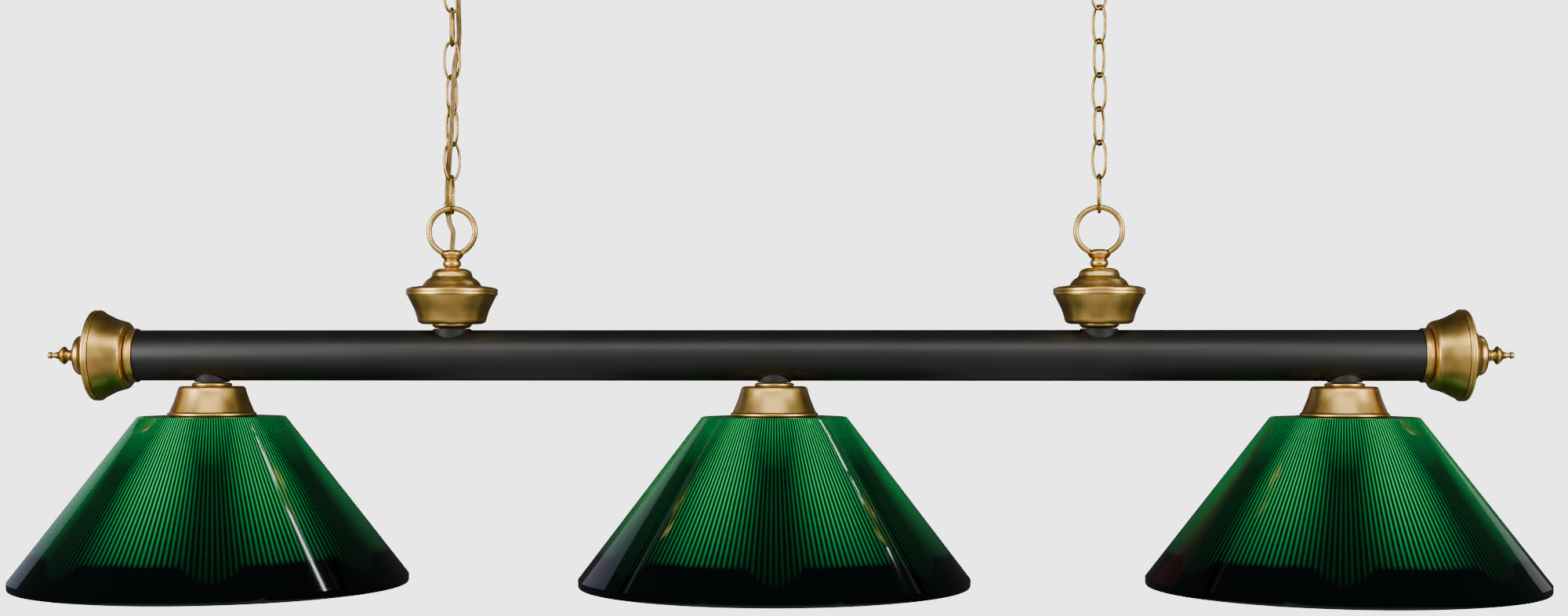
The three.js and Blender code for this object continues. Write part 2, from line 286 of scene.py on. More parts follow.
def cut(piece: bpy.types.Object, tool: bpy.types.Object, how: str = "DIFFERENCE") -> None:
    """Cuts a piece with a tool, or joins them, and drops the tool.

    Args:
        piece: what is cut.
        tool: the cutter.
        how: DIFFERENCE or UNION.
    """
    modifier = piece.modifiers.new("cut", "BOOLEAN")
    modifier.operation = how
    modifier.object = tool
    modifier.solver = "EXACT"
    bake(piece)
    bpy.data.objects.remove(tool)
    smooth(piece.data)


def tube_rod(name: str, gap: float = 0.2, length: float = 1.4) -> bpy.types.Object:
    """A plain round rod a little thicker than the tube and on its axis, for cutting.

    Args:
        name: the tool's name.
        gap: how much thicker its radius is, in millimetres.
        length: in metres.

    Returns:
        The rod.
    """
    radius = tube_size()[0] + gap * MM
    mesh = bmesh.new()
    turn = Matrix.Translation((0, 0, tube_axis())) @ Matrix.Rotation(math.pi / 2, 4, "Y")
    bmesh.ops.create_cone(mesh, cap_ends=True, segments=128, radius1=radius, radius2=radius,
                          depth=length, matrix=turn)
    return new_piece(name, mesh)


def standing_rod(name: str, radius: float, low: float, high: float, matrix: Matrix) -> bpy.types.Object:
    """A plain round rod that stands up, for cutting.

    Args:
        name: the tool's name.
        radius: in millimetres.
        low: its bottom, in the matrix's frame.
        high: its top.
        matrix: from millimetres to the frame.

    Returns:
        The rod.
    """
    return turned(name, [(0, low, 0), (radius, low, 0), (radius, high, 0), (0, high, 0)], matrix, 64)


# ---------- finishes ----------


def linear(code: str) -> tuple[float, float, float, float]:
    """Turns an sRGB hex colour to linear.

    Args:
        code: six hex digits after a hash.

    Returns:
        Linear red, green, blue and an alpha of 1.
    """
    values = []
    for i in (1, 3, 5):
        channel = int(code[i:i + 2], 16) / 255
        dark = channel <= 0.04045
        values.append(channel / 12.92 if dark else ((channel + 0.055) / 1.055) ** 2.4)
    return values[0], values[1], values[2], 1.0


def per_mm(size: float) -> float:
    """The texture scale that repeats a pattern every so many millimetres."""
    return 1 / (size * MM)


def connect(tree: bpy.types.NodeTree, node: bpy.types.Node, inputs: dict) -> None:
    """Gives a node's inputs their values and links.

    Args:
        tree: the node tree.
        node: the node.
        inputs: by name or number, a value, an output socket, or a node for its first output.
    """
    for key, value in inputs.items():
        if isinstance(value, bpy.types.Node):
            value = value.outputs[0]
        if isinstance(value, bpy.types.NodeSocket):
            tree.links.new(value, node.inputs[key])
        else:
            node.inputs[key].default_value = value


def add(tree: bpy.types.NodeTree, kind: str, inputs: dict | None = None,
        stops: tuple[tuple[float, str], ...] = (), **settings) -> bpy.types.Node:
    """Adds a node, with its settings, values and links.

    Args:
        tree: the node tree.
        kind: the node's type name.
        inputs: by name or number, a value, an output socket, or a node for its first output.
        stops: a colour ramp's stops from left to right, each a place and a hex colour.
        settings: the node's own properties.

    Returns:
        The new node.
    """
    node = tree.nodes.new(kind)
    for key, value in settings.items():
        setattr(node, key, value)
    connect(tree, node, inputs or {})
    for number, (spot, code) in enumerate(stops):
        band = node.color_ramp.elements
        element = band[number] if number < len(band) else band.new(spot)
        element.position = spot
        element.color = linear(code)
    return node


@dataclass(frozen=True)
class Finish:
    """What all finishes share: a Principled material with a pattern in the frame's own metres."""

    name: str

    def build(self) -> bpy.types.Material:
        """Makes the material."""
        material = bpy.data.materials.new(self.name)
        material.use_nodes = True
        tree = material.node_tree
        spot = add(tree, "ShaderNodeTexCoord").outputs["Object"]
        connect(tree, tree.nodes["Principled BSDF"], self.surface(tree, spot))
        return material

    def surface(self, tree: bpy.types.NodeTree, spot: bpy.types.NodeSocket) -> dict:
        """The shader's inputs.

        Args:
            tree: the material's node tree.
            spot: the place on the object.

        Returns:
            By name, a value or a socket.
        """
        raise NotImplementedError


def clouded(tree: bpy.types.NodeTree, spot: bpy.types.NodeSocket, size: float, *stops: tuple[float, str],
            **noise: float) -> tuple[bpy.types.NodeSocket, bpy.types.NodeSocket]:
    """A cloudy blend of colours.

    Args:
        tree: the node tree.
        spot: the place on the object.
        size: the clouds' size, in millimetres.
        stops: the blend's stops.
        noise: the cloud's other inputs.

    Returns:
        The cloud's strength and its colour.
    """
    cloud = add(tree, "ShaderNodeTexNoise", {"Vector": spot, "Scale": per_mm(size), **noise})
    tone = add(tree, "ShaderNodeValToRGB", {0: cloud.outputs["Fac"]}, stops)
    return cloud.outputs["Fac"], tone.outputs["Color"]


@dataclass(frozen=True)
class AgedBrass(Finish):
    """Brass, turned or spun, aged and lacquered: a warm satin metal, cloudy and dark in its grooves."""

    name: str = "aged_brass"
    light: str = "#d5ae62"
    body: str = "#bf9548"
    dark: str = "#4a3718"
    roughness: float = 0.34
    patch_mm: float = 14.0
    grain_mm: float = 0.5

    def surface(self, tree: bpy.types.NodeTree, spot: bpy.types.NodeSocket) -> dict:
        """Cloudy patina, dark recesses and a fine lathe grain."""
        cloud, tone = clouded(tree, spot, self.patch_mm, (0.3, self.body), (0.72, self.light),
                              Detail=4.0, Roughness=0.6)
        recess = add(tree, "ShaderNodeAttribute", attribute_name="recess")
        worn = add(tree, "ShaderNodeMath", {0: recess.outputs["Fac"], 1: 0.35}, operation="MULTIPLY")
        mix = add(tree, "ShaderNodeMix", {0: worn, 6: tone, 7: linear(self.dark)},
                  data_type="RGBA")
        grain = add(tree, "ShaderNodeTexNoise", {"Vector": spot, "Scale": per_mm(self.grain_mm)})
        spread = add(tree, "ShaderNodeMapRange",
                     {0: cloud, 3: self.roughness - 0.05, 4: self.roughness + 0.07})
        bump = add(tree, "ShaderNodeBump",
                   {"Strength": 0.12, "Distance": 0.02 * MM, "Height": grain.outputs["Fac"]})
        return {"Base Color": mix.outputs[2], "Roughness": spread,
                "Normal": bump, "Metallic": 1.0}


@dataclass(frozen=True)
class BlackBronze(Finish):
    """Steel with a satin black-bronze powder coat: nearly black, with a broad soft sheen."""

    name: str = "black_bronze_powder_coat"
    body: str = "#100f0c"
    light: str = "#161512"
    roughness: float = 0.42
    grit_mm: float = 0.7
    cloud_mm: float = 45.0

    def surface(self, tree: bpy.types.NodeTree, spot: bpy.types.NodeSocket) -> dict:
        """A faint orange peel under an even satin."""
        _, tone = clouded(tree, spot, self.cloud_mm, (0.35, self.body), (0.7, self.light), Detail=5.0)
        grit = add(tree, "ShaderNodeTexNoise",
                   {"Vector": spot, "Scale": per_mm(self.grit_mm), "Detail": 3.0})
        spread = add(tree, "ShaderNodeMapRange",
                     {0: grit.outputs["Fac"], 3: self.roughness - 0.04, 4: self.roughness + 0.06})
        bump = add(tree, "ShaderNodeBump",
                   {"Strength": 0.2, "Distance": 0.03 * MM, "Height": grit.outputs["Fac"]})
        return {"Base Color": tone, "Roughness": spread, "Normal": bump,
                "Metallic": 0.35}


@dataclass(frozen=True)
class GreenAcrylic(Finish):
    """Moulded green acrylic: a glossy outer face, with the ribs of the inner face seen through it.

    The long bands of light and shade round the cone are painted light and painted shade in its colour, as is
    the brightening below the deck.
    """

    name: str = "green_acrylic"
    # the colours run from the painted light of the top down to the near-black foot, which is painted shade
    top: str = "#00aa52"
    middle: str = "#009c4a"
    low: str = "#004c26"
    foot: str = "#010303"
    lobes: int = 7
    dip: float = 0.09
    gloss: float = 0.05
    cloud_mm: float = 62.0

    def surface(self, tree: bpy.types.NodeTree, spot: bpy.types.NodeSocket) -> dict:
        """Painted light and shadow on the ribs, painted bands of light and shade round the cone and painted
        shade towards the foot, under a clear gloss.
        """
        turn = add(tree, "ShaderNodeUVMap", uv_map="turn")
        round_cone = add(tree, "ShaderNodeSeparateXYZ", {0: turn}).outputs[0]
        down = add(tree, "ShaderNodeAttribute", attribute_name="down").outputs["Fac"]
        painted_light_lobes = self.painted_light_lobes(tree, round_cone)
        ribbed = self.ribbed(tree, spot, round_cone, down, painted_light_lobes)
        # painted light and shade: the lobes' crests and the band under the deck show the ribbed colour, and
        # their troughs fade to the foot's near black
        glow = add(tree, "ShaderNodeMapRange", {0: painted_light_lobes, 1: -0.8, 2: 0.9, 3: 0.09, 4: 1.0})
        near_deck = add(tree, "ShaderNodeMapRange", {0: down, 1: 0.02, 2: 0.34, 3: 0.55, 4: 0.0})
        glimmer = add(tree, "ShaderNodeMath", {0: glow, 1: near_deck},
                      operation="MAXIMUM")
        banded = add(tree, "ShaderNodeMix", {0: glimmer, 6: linear(self.foot), 7: ribbed},
                     data_type="RGBA")
        return {"Base Color": banded.outputs[2], "Roughness": 0.6, "Specular IOR Level": 0.0,
                "Coat Weight": 0.7, "Coat Roughness": self.gloss, "Coat IOR": 1.49}

    def painted_light_lobes(self, tree: bpy.types.NodeTree, round_cone: bpy.types.NodeSocket) -> bpy.types.NodeSocket:
        """A wave from -1 to 1 with one crest for each painted lobe of light round the cone."""
        beat = add(tree, "ShaderNodeMath", {0: round_cone, 1: 2 * math.pi * self.lobes, 2: math.pi / 2},
                   operation="MULTIPLY_ADD")
        return add(tree, "ShaderNodeMath", {0: beat}, operation="COSINE").outputs[0]

    def ribbed(self, tree: bpy.types.NodeTree, spot: bpy.types.NodeSocket, round_cone: bpy.types.NodeSocket,
               down: bpy.types.NodeSocket, painted_light_lobes: bpy.types.NodeSocket) -> bpy.types.NodeSocket:
        """The ribs with painted light on them and painted shadow between them, in painted shade that darkens
        towards the foot.

        Args:
            tree: the material's node tree.
            spot: the place on the object.
            round_cone: the way round, from 0 to 1.
            down: the way down, from 0 to 1.
            painted_light_lobes: the wave of the painted lobes of light, whose troughs let the painted light
                reach lower.

        Returns:
            The colour.
        """
        ribs = add(tree, "ShaderNodeMath", {0: round_cone, 1: 2 * math.pi * RIB_COUNT},
                   operation="MULTIPLY")
        wave = add(tree, "ShaderNodeMath", {0: ribs}, operation="SINE")
        # where the painted light on the ribs falls: 1 on a rib, 0 between them
        crest = add(tree, "ShaderNodeMapRange", {0: wave, 1: -0.35, 2: 0.95})
        cloud = add(tree, "ShaderNodeTexNoise", {"Vector": spot, "Scale": per_mm(self.cloud_mm)})
        drift = add(tree, "ShaderNodeMath", {0: cloud.outputs["Fac"], 1: 0.04, 2: -0.02},
                    operation="MULTIPLY_ADD")
        # painted shade: darker from top to foot, its edge made ragged by the cloud and lowered in the lobes'
        # troughs
        uneven = add(tree, "ShaderNodeMath", {0: down, 1: drift})
        trough = add(tree, "ShaderNodeMapRange", {0: painted_light_lobes, 1: -0.45, 2: -1.0, 3: 0.0, 4: self.dip})
        level = add(tree, "ShaderNodeMath", {0: uneven, 1: trough},
                    operation="SUBTRACT")
        lit = add(tree, "ShaderNodeValToRGB", {0: level},
                  ((0.0, self.top), (0.38, self.middle), (0.775, self.low), (0.8, self.foot)))
        # painted shadow between the ribs: the colour taken almost to the foot's near black
        shadow = add(tree, "ShaderNodeMix", {0: 0.96, 6: lit, 7: linear(self.foot)},
                     data_type="RGBA")
        return add(tree, "ShaderNodeMix", {0: crest, 6: shadow.outputs[2], 7: lit},
                   data_type="RGBA").outputs[2]


@dataclass(frozen=True)
class Phenolic(Finish):
    """Moulded phenolic: a dark brown-black plastic with a dull shine and a faint cloud."""

    name: str = "moulded_phenolic"
    body: str = "#1a1410"
    light: str = "#2b221b"
    cloud_mm: float = 5.5

    def surface(self, tree: bpy.types.NodeTree, spot: bpy.types.NodeSocket) -> dict:
        """A faint cloud in colour and height."""
        cloud, tone = clouded(tree, spot, self.cloud_mm, (0.3, self.body), (0.8, self.light), Detail=4.0)
        bump = add(tree, "ShaderNodeBump", {"Strength": 0.15, "Distance": 0.05 * MM, "Height": cloud})
        return {"Base Color": tone, "Normal": bump, "Roughness": 0.4}


@dataclass(frozen=True)
class OpalGlass(Finish):
    """Opal glass of a bulb: milky white, glossy, soft inside."""

    name: str = "opal_glass"
    body: str = "#f2efe8"
    shade: str = "#dedad0"
    cloud_mm: float = 25.0

    def surface(self, tree: bpy.types.NodeTree, spot: bpy.types.NodeSocket) -> dict:
        """A milky body with a faint drift under a hard gloss."""
        _, tone = clouded(tree, spot, self.cloud_mm, (0.2, self.shade), (0.7, self.body))
        return {"Base Color": tone, "Roughness": 0.25, "IOR": 1.5, "Subsurface Weight": 0.3,
                "Subsurface Radius": (0.004, 0.004, 0.004), "Coat Weight": 0.6, "Coat Roughness": 0.05}


@dataclass(frozen=True)
class ZincPlate(Finish):
    """Bright zinc plating on pressed steel: pale grey metal with a spangled, slightly uneven shine."""

    name: str = "zinc_plate"
    light: str = "#c3c4c2"
    dark: str = "#8f9192"
    spangle_mm: float = 2.4

    def surface(self, tree: bpy.types.NodeTree, spot: bpy.types.NodeSocket) -> dict:
        """Crystal spangle in colour and roughness."""
        cells = add(tree, "ShaderNodeTexVoronoi", {"Vector": spot, "Scale": per_mm(self.spangle_mm)})
        tone = add(tree, "ShaderNodeValToRGB", {0: cells.outputs["Color"]},
                   ((0.0, self.dark), (1.0, self.light)))
        spread = add(tree, "ShaderNodeMapRange", {0: cells.outputs["Distance"], 3: 0.28, 4: 0.42})
        return {"Base Color": tone, "Roughness": spread, "Metallic": 1.0}


@dataclass(frozen=True)
class ClearGoldVinyl(Finish):
    """Clear gold vinyl over stranded copper: a tinted skin with long strands glinting through."""

    name: str = "clear_gold_vinyl"
    strand_light: str = "#93702d"
    strand_dark: str = "#4c3713"
    strands: float = 9.0
    lay: float = 0.16

    def surface(self, tree: bpy.types.NodeTree, spot: bpy.types.NodeSocket) -> dict:
        """Strands that wind slowly along each core under a glossy skin, drawn coarse enough to show."""
        along = add(tree, "ShaderNodeUVMap", uv_map="run")
        split = add(tree, "ShaderNodeSeparateXYZ", {0: along})
        wind = add(tree, "ShaderNodeMath", {0: split.outputs[1], 1: self.lay}, operation="MULTIPLY")
        slope = add(tree, "ShaderNodeMath", {0: split, 1: self.strands, 2: wind},
                    operation="MULTIPLY_ADD")
        turns = add(tree, "ShaderNodeMath", {0: slope, 1: 2 * math.pi}, operation="MULTIPLY")
        wave = add(tree, "ShaderNodeMath", {0: turns}, operation="SINE")
        crest = add(tree, "ShaderNodeMapRange", {0: wave, 1: -1.0, 2: 1.0})
        tone = add(tree, "ShaderNodeValToRGB", {0: crest},
                   ((0.1, self.strand_dark), (0.8, self.strand_light)))
        return {"Base Color": tone, "Metallic": 0.45, "Roughness": 0.38,
                "Coat Weight": 0.35, "Coat Roughness": 0.2}


@dataclass(frozen=True)
class BareCopper(Finish):
    """Bare copper wire, dulled by handling: a thin warm line with a patchy tarnish."""

    name: str = "bare_copper"
    light: str = "#a8835a"
    dark: str = "#5b4026"
    tarnish_mm: float = 1.1

    def surface(self, tree: bpy.types.NodeTree, spot: bpy.types.NodeSocket) -> dict:
        """Patches of tarnish on a dull metal."""
        _, tone = clouded(tree, spot, self.tarnish_mm, (0.3, self.dark), (0.7, self.light))
        return {"Base Color": tone, "Metallic": 1.0, "Roughness": 0.36}


@dataclass(frozen=True)
class PaleFloor(Finish):
    """Plain pale paint on the floor: an even matt."""

    name: str = "pale_floor"
    body: str = "#e9e8e6"
    shade: str = "#e6e5e3"
    cloud_mm: float = 1600.0

    def surface(self, tree: bpy.types.NodeTree, spot: bpy.types.NodeSocket) -> dict:
        """A barely uneven matt."""
        _, tone = clouded(tree, spot, self.cloud_mm, (0.0, self.shade), (1.0, self.body))
        return {"Base Color": tone, "Roughness": 0.7}


class Finishes:
    """Every finish of the lamp, each built once."""

    def __init__(self) -> None:
        """Builds all the materials."""
        self.brass = AgedBrass().build()
        self.chain = AgedBrass("bright_chain_brass", "#b08c45", "#8d6c30", "#4a3618", 0.26, 6.0).build()
        self.black = BlackBronze().build()
        # the spacers share the tube's black bronze; this copy is rougher, and its darker colour is painted
        # shade
        self.spacer = BlackBronze("black_spacer_painted_shade", "#070605", "#0c0a08", 0.6).build()
        self.green = GreenAcrylic().build()
        self.phenolic = Phenolic().build()
        self.opal = OpalGlass().build()
        self.zinc = ZincPlate().build()
        self.vinyl = ClearGoldVinyl().build()
        self.copper = BareCopper().build()
        self.floor = PaleFloor().build()


def dress(piece: bpy.types.Object, body: str, slot: str, finish: bpy.types.Material,
          *nodes: str) -> None:
    """Gives a piece its finish and its body, and hides the frame nodes that it stands for.

    Args:
        piece: the finished piece.
        body: the body that it moves with.
        slot: the record's material slot; not used.
        finish: its material.
        nodes: the frame nodes that it replaces.
    """
    piece.data.materials.clear()
    piece.data.materials.append(finish)
    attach(piece, body)
    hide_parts(*nodes)
    LOG.info("%s on %s: %d faces", piece.name, body, len(piece.data.polygons))


# ---------- the bar and what is turned ----------


def brass_turning(name: str, node: str, corners: list[Corner], matrix: Matrix, finishes: Finishes,
                  sides: int = 128, body: str = "lamp_bar") -> None:
    """Turns a brass piece and dresses it.

    Args:
        name: the piece's name.
        node: the frame node that it replaces.
        corners: its profile.
        matrix: from the profile's frame to the frame.
        finishes: the lamp's finishes.
        sides: how many steps there are round the axis.
        body: the body that it moves with.
    """
    dress(turned(name, corners, matrix, sides), body, "antique_brass", finishes.brass, node)


@dataclass
class MainTube:
    """The long black tube, with rolled ends."""

    finishes: Finishes
    wall: float = 1.5

    def build(self) -> None:
        """Builds the tube as a turned ring of its wall, laid along X."""
        radius, half = (size / MM for size in tube_size())
        inner = radius - self.wall
        lie = place(0) @ Matrix.Rotation(math.pi / 2, 4, "Y")
        tube = turned("tube", [(inner, -half, 0.3), (radius, -half, 0.5), (radius, half, 0.5),
                               (inner, half, 0.3)], lie, 160)
        dress(tube, "lamp_bar", "black_tube", self.finishes.black, "main_tube")


def bell(hole: float) -> list[Corner]:
    """The spun bell's profile, open at its top.

    Args:
        hole: the radius of the hole in its floor.

    Returns:
        The profile's corners.
    """
    return [(hole, 31.3, 0), (19.2, 31.3, 0.5), (21.6, 29.5, 1.2), (27.4, 29.3, 2.0), (31.9, 31.0, 3.6),
            (34.4, 41.5, 9), (42.0, 56.6, 0.4), (40.3, 56.6, 0.3), (32.8, 41.8, 9), (30.0, 32.9, 2.4),
            (hole, 32.9, 0)]


def cover(hole: float) -> list[Corner]:
    """The stepped domed cover's profile.

    Args:
        hole: the radius of the hole in its crown.

    Returns:
        The profile's corners.
    """
    return [(hole, 80.8, 0), (11.5, 80.6, 4), (17.0, 77.4, 3.5), (18.3, 72.8, 1.0), (25.2, 65.4, 0.8),
            (40.2, 61.9, 1.5), (41.2, 56.9, 0.2), (43.1, 56.9, 0.5), (43.1, 59.4, 0.3), (42.7, 59.8, 0.3),
            (43.1, 60.2, 0.3), (43.1, 63.0, 2.2), (37.6, 64.7, 0.8), (27.9, 65.9, 0.3), (27.5, 66.5, 0.3),
            (25.0, 70.6, 3.5), (20.1, 73.8, 0.5), (19.5, 74.3, 0.4), (18.4, 79.4, 4.5), (13.0, 82.2, 4.0),
            (hole, 82.2, 0)]


def stem() -> list[Corner]:
    """The two-beaded stem's profile, solid."""
    low = STEM_FOOT
    return [(0, low, 0), (6.4, low, 0.4), (8.7, low + 2.2, 1.8), (8.6, low + 5.8, 1.8), (7.0, low + 7.6, 0.8),
            (9.4, low + 9.6, 1.2), (11.5, low + 13.4, 1.8), (9.8, low + 16.2, 1.6), (5.0, low + 17.3, 0.6),
            (0, low + 17.3, 0)]


@dataclass
class LoopedStem:
    """A cast stem with a round eye, drilled for the cord."""

    name: str
    matrix: Matrix
    thread_top: float = 92.8
    eye_floor: float = 106.0
    steps: int = 64
    sides: int = 24

    def eye(self) -> bpy.types.Object:
        """The eye's ring of round wire, in the XZ plane of its matrix."""
        mesh = bmesh.new()
        rings = []
        for i in range(self.steps):
            turn = 2 * math.pi * i / self.steps
            out = Vector((math.cos(turn), 0, math.sin(turn)))
            ring = []
            for k in range(self.sides):
                roll = 2 * math.pi * k / self.sides
                spot = out * (EYE_RADIUS + EYE_WIRE * math.cos(roll))
                spot += Vector((0, EYE_WIRE * math.sin(roll), EYE_HEIGHT))
                ring.append(mesh.verts.new(self.matrix @ spot))
            rings.append(ring)
        for here, after in zip(rings, rings[1:] + rings[:1]):
            for k in range(self.sides):
                beside = (k + 1) % self.sides
                mesh.faces.new([here[k], here[beside], after[beside], after[k]])
        bmesh.ops.recalc_face_normals(mesh, faces=mesh.faces)
        return new_piece(self.name + "_eye", mesh)

    def build(self) -> bpy.types.Object:
        """Joins the stem and its eye and drills them."""
        piece = turned(self.name, stem(), self.matrix, 72)
        cut(piece, self.eye(), "UNION")
        start = STEM_FOOT - 2.5
        cut(piece, standing_rod(self.name + "_thread", PIPE_HOLE, start, self.thread_top, self.matrix))
        cut(piece, standing_rod(self.name + "_bore", CORD_BORE, start, self.eye_floor, self.matrix))
        return piece


@dataclass
class Hanger:
    """One of the two fittings on top of the tube that a chain holds."""

    side: Side
    finishes: Finishes
    saddle_radius: float = 18.0
    saddle_top: float = 25.4
    pipe_foot: float = 12.0
    pipe_top: float = 92.4

    def build(self) -> None:
        """Builds the saddle, collar, bell, cover, loop and pipe."""
        word = self.side.word
        at = place(centre_of(f"{word}_hanger_bell").x)
        build_saddle(f"{word}_saddle", f"{word}_hanger_saddle", self.saddle_radius, self.saddle_top, at,
                     self.finishes)
        collar = [(PIPE_HOLE, 25.7, 0), (15.8, 25.7, 0.4), (18.8, 28.0, 0.9), (18.8, 30.2, 0.7),
                  (17.8, 31.0, 0.3), (PIPE_HOLE, 31.0, 0)]
        brass_turning(f"{word}_collar", f"{word}_hanger_collar", collar, at, self.finishes, 96)
        brass_turning(f"{word}_bell", f"{word}_hanger_bell", bell(PIPE_HOLE), at, self.finishes)
        brass_turning(f"{word}_cover", f"{word}_hanger_cover", cover(PIPE_HOLE), at, self.finishes)
        loop = LoopedStem(f"{word}_loop", at).build()
        dress(loop, "lamp_bar", "antique_brass", self.finishes.brass, f"{word}_hanger_loop")
        pipe = threaded_pipe(f"{word}_pipe", self.pipe_foot, self.pipe_top, at)
        dress(pipe, "lamp_bar", "zinc_steel", self.finishes.zinc, f"{word}_hanger_nipple")


def build_saddle(name: str, node: str, radius: float, top: float, matrix: Matrix,
                 finishes: Finishes) -> None:
    """Builds a spacer that fits the tube's round and is flat on its far side.

    Args:
        name: the piece's name.
        node: the frame node that it replaces.
        radius: its radius in millimetres.
        top: its flat side, from the tube's axis.
        matrix: from millimetres to the frame.
        finishes: the lamp's finishes.
    """
    foot = 12
    block = turned(name, [(PIPE_HOLE, foot, 0), (radius, foot, 0), (radius, top, 0.7),
                          (PIPE_HOLE, top, 0)], matrix)
    cut(block, tube_rod(name + "_round"))
    dress(block, "lamp_bar", "black_tube", finishes.spacer, node)


def threaded_pipe(name: str, low: float, high: float, matrix: Matrix) -> bpy.types.Object:
    """A hollow pipe with rolled threads as fine ridges, and no nut.

    Args:
        name: the piece's name.
        low: its bottom.
        high: its top.
        matrix: from millimetres to the frame.

    Returns:
        The pipe.
    """
    pitch = 1.4
    crest, root = 4.9, 4.4
    corners = [(CORD_BORE, low, 0), (root, low, 0)]
    height = low + pitch / 2
    while height < high - pitch:
        corners += [(crest, height, 0), (root, height + pitch / 2, 0)]
        height += pitch
    corners += [(root, high, 0), (CORD_BORE, high, 0)]
    return turned(name, corners, matrix, 32)


@dataclass
class TubeEnd:
    """The bell, cover and finial that close one end of the tube."""

    side: Side
    finishes: Finishes
    shift: float = 27.5

    def build(self) -> None:
        """Builds the collar, bell, cover and finial, facing outwards."""
        word = self.side.word
        out = Matrix.Translation((self.side.facing * tube_size()[1], 0, tube_axis()))
        out = out @ Matrix.Rotation(self.side.facing * math.pi / 2, 4, "Y") @ Matrix.Scale(MM, 4)
        stack = out @ Matrix.Translation((0, 0, -self.shift))
        collar = [
            (STUD_HOLE, -1.5, 0), (20.7, -1.5, 0.5), (20.7, -14, 0.2), (22.2, -14, 0.5), (22.2, 0.3, 0.1),
            (24.45, 0.3, 0.1), (24.45, -6, 0.2), (25.2, -6, 0.2), (25.8, -5.3, 0.4), (25.8, -1.2, 0.3),
            (25.3, -0.8, 0.3), (25.8, -0.4, 0.3), (25.6, 0.9, 0.5), (24.8, 1.4, 0.3), (18, 1.4, 0.4),
            (17, 3.4, 0.4), (STUD_HOLE, 3.4, 0)]
        brass_turning(f"{word}_end_ring", f"{word}_end_collar", collar, out, self.finishes)
        brass_turning(f"{word}_end_cup", f"{word}_end_bell", bell(STUD_HOLE), stack, self.finishes)
        brass_turning(f"{word}_end_dome", f"{word}_end_cover", cover(STUD_HOLE), stack, self.finishes)
        finial = [
            (0, -12, 0), (2.3, -12, 0.4), (2.3, 55, 0.1), (7.5, 55, 0.4), (7.5, 56.2, 0.5), (5.6, 58.0, 0.8),
            (5.1, 60.4, 1.2), (5.8, 62.6, 0.8), (8.6, 64.2, 0.8), (8.7, 65.6, 0.8), (7.0, 67.9, 1.0),
            (4.0, 70.2, 1.2), (2.5, 74.8, 1.2), (2.2, 76.4, 0.4), (3.4, 77.2, 0.9), (3.4, 79.8, 1.2),
            (2.0, 81.0, 0.8), (0, 81.0, 0)]
        brass_turning(f"{word}_end_finial", f"{word}_finial", finial, out, self.finishes, 64)


# ---------- lampholders ----------


@dataclass
class Shade:
    """A ribbed acrylic cone with a flat deck: a smooth outer face and fine ribs on the inner face."""

    place_name: str
    turn: float
    finishes: Finishes
    tree: bpy.types.NodeTree
    rib_height: float = 1.1
    rib_width: float = 1.5
    hole: float = 21.0
    deck: float = 68.0
    wall: float = 3.6

    def profile(self, top: float, foot: float, rim: float) -> list[Corner]:
        """The shell's profile.

        Args:
            top: the deck's upper face.
            foot: the lip's bottom.
            rim: the lip's outer radius.

        Returns:
            The profile's corners.
        """
        under = top - self.wall
        return [(self.hole, under, 0.3), (self.deck - 1.8, under, 1.0), (rim - 5.0, foot + 9.5, 2.5),
                (rim - 4.6, foot + 1.2, 0.9), (rim - 3.4, foot, 0.7), (rim - 1.0, foot, 1.0),
                (rim, foot + 1.8, 1.2), *self.slant((rim, foot + 7.6), (self.deck + 0.9, top - 0.9)),
                (self.deck + 0.9, top - 0.9, 0.5), (self.deck - 0.6, top, 0.5), (self.hole, top, 0.3)]

    @staticmethod
    def slant(low: tuple[float, float], high: tuple[float, float], steps: int = 12) -> list[Corner]:
        """Rings down the cone, all but the top one, which keep its gloss straight.

        Args:
            low: its bottom, as radius and height.
            high: its top.
            steps: how many rings there are.

        Returns:
            The rings, as corners of the profile.
        """
        share = [k / steps for k in range(steps)]
        return [(low[0] + (high[0] - low[0]) * t, low[1] + (high[1] - low[1]) * t, 0) for t in share]

    def ribs(self, shell: bpy.types.Object, top: float, foot: float, rim: float, at: Matrix) -> None:
        """Adds the inner ribs to the shell with a node tree, and bakes them.

        Args:
            shell: the turned shell.
            top: the deck's upper face.
            foot: the lip's bottom.
            rim: the lip's outer radius.
            at: from millimetres to the frame.
        """
        start = at @ Vector((self.deck - 2.6, 0, top - self.wall - 0.6))
        end = at @ Vector((rim - 5.6, 0, foot + 10.5))
        grow(shell, self.tree, {"Count": RIB_COUNT, "Start": start, "End": end, "Axis": at.translation,
                                "Width": self.rib_width * MM, "Height": self.rib_height * MM})

    def build(self) -> None:
        """Builds the shade."""
        node = f"{self.place_name}_shade"
        low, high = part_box(node)
        top, foot = above_axis(high.z), above_axis(low.z)
        rim = (high.y - low.y) / 2 / MM
        at = place((low.x + high.x) / 2) @ Matrix.Rotation(math.radians(self.turn), 4, "Z")
        shell = turned(f"{self.place_name}_cone", self.profile(top, foot, rim), at, RIB_COUNT)
        self.ribs(shell, top, foot, rim, at)
        self.mark_height(shell, low.z, high.z)
        smooth(shell.data, 30)
        dress(shell, "lamp_bar", "green_acrylic", self.finishes.green, node)

    @staticmethod
    def mark_height(shell: bpy.types.Object, foot: float, top: float) -> None:
        """Writes the attribute "down", 0 at the deck and 1 at the foot.

        Args:
            shell: the shade's mesh object.
            foot: its lowest height, in metres.
            top: its highest.
        """
        layer = shell.data.attributes.new("down", "FLOAT", "POINT")
        values = [(top - v.co.z) / (top - foot) for v in shell.data.vertices]
        layer.data.foreach_set("value", values)


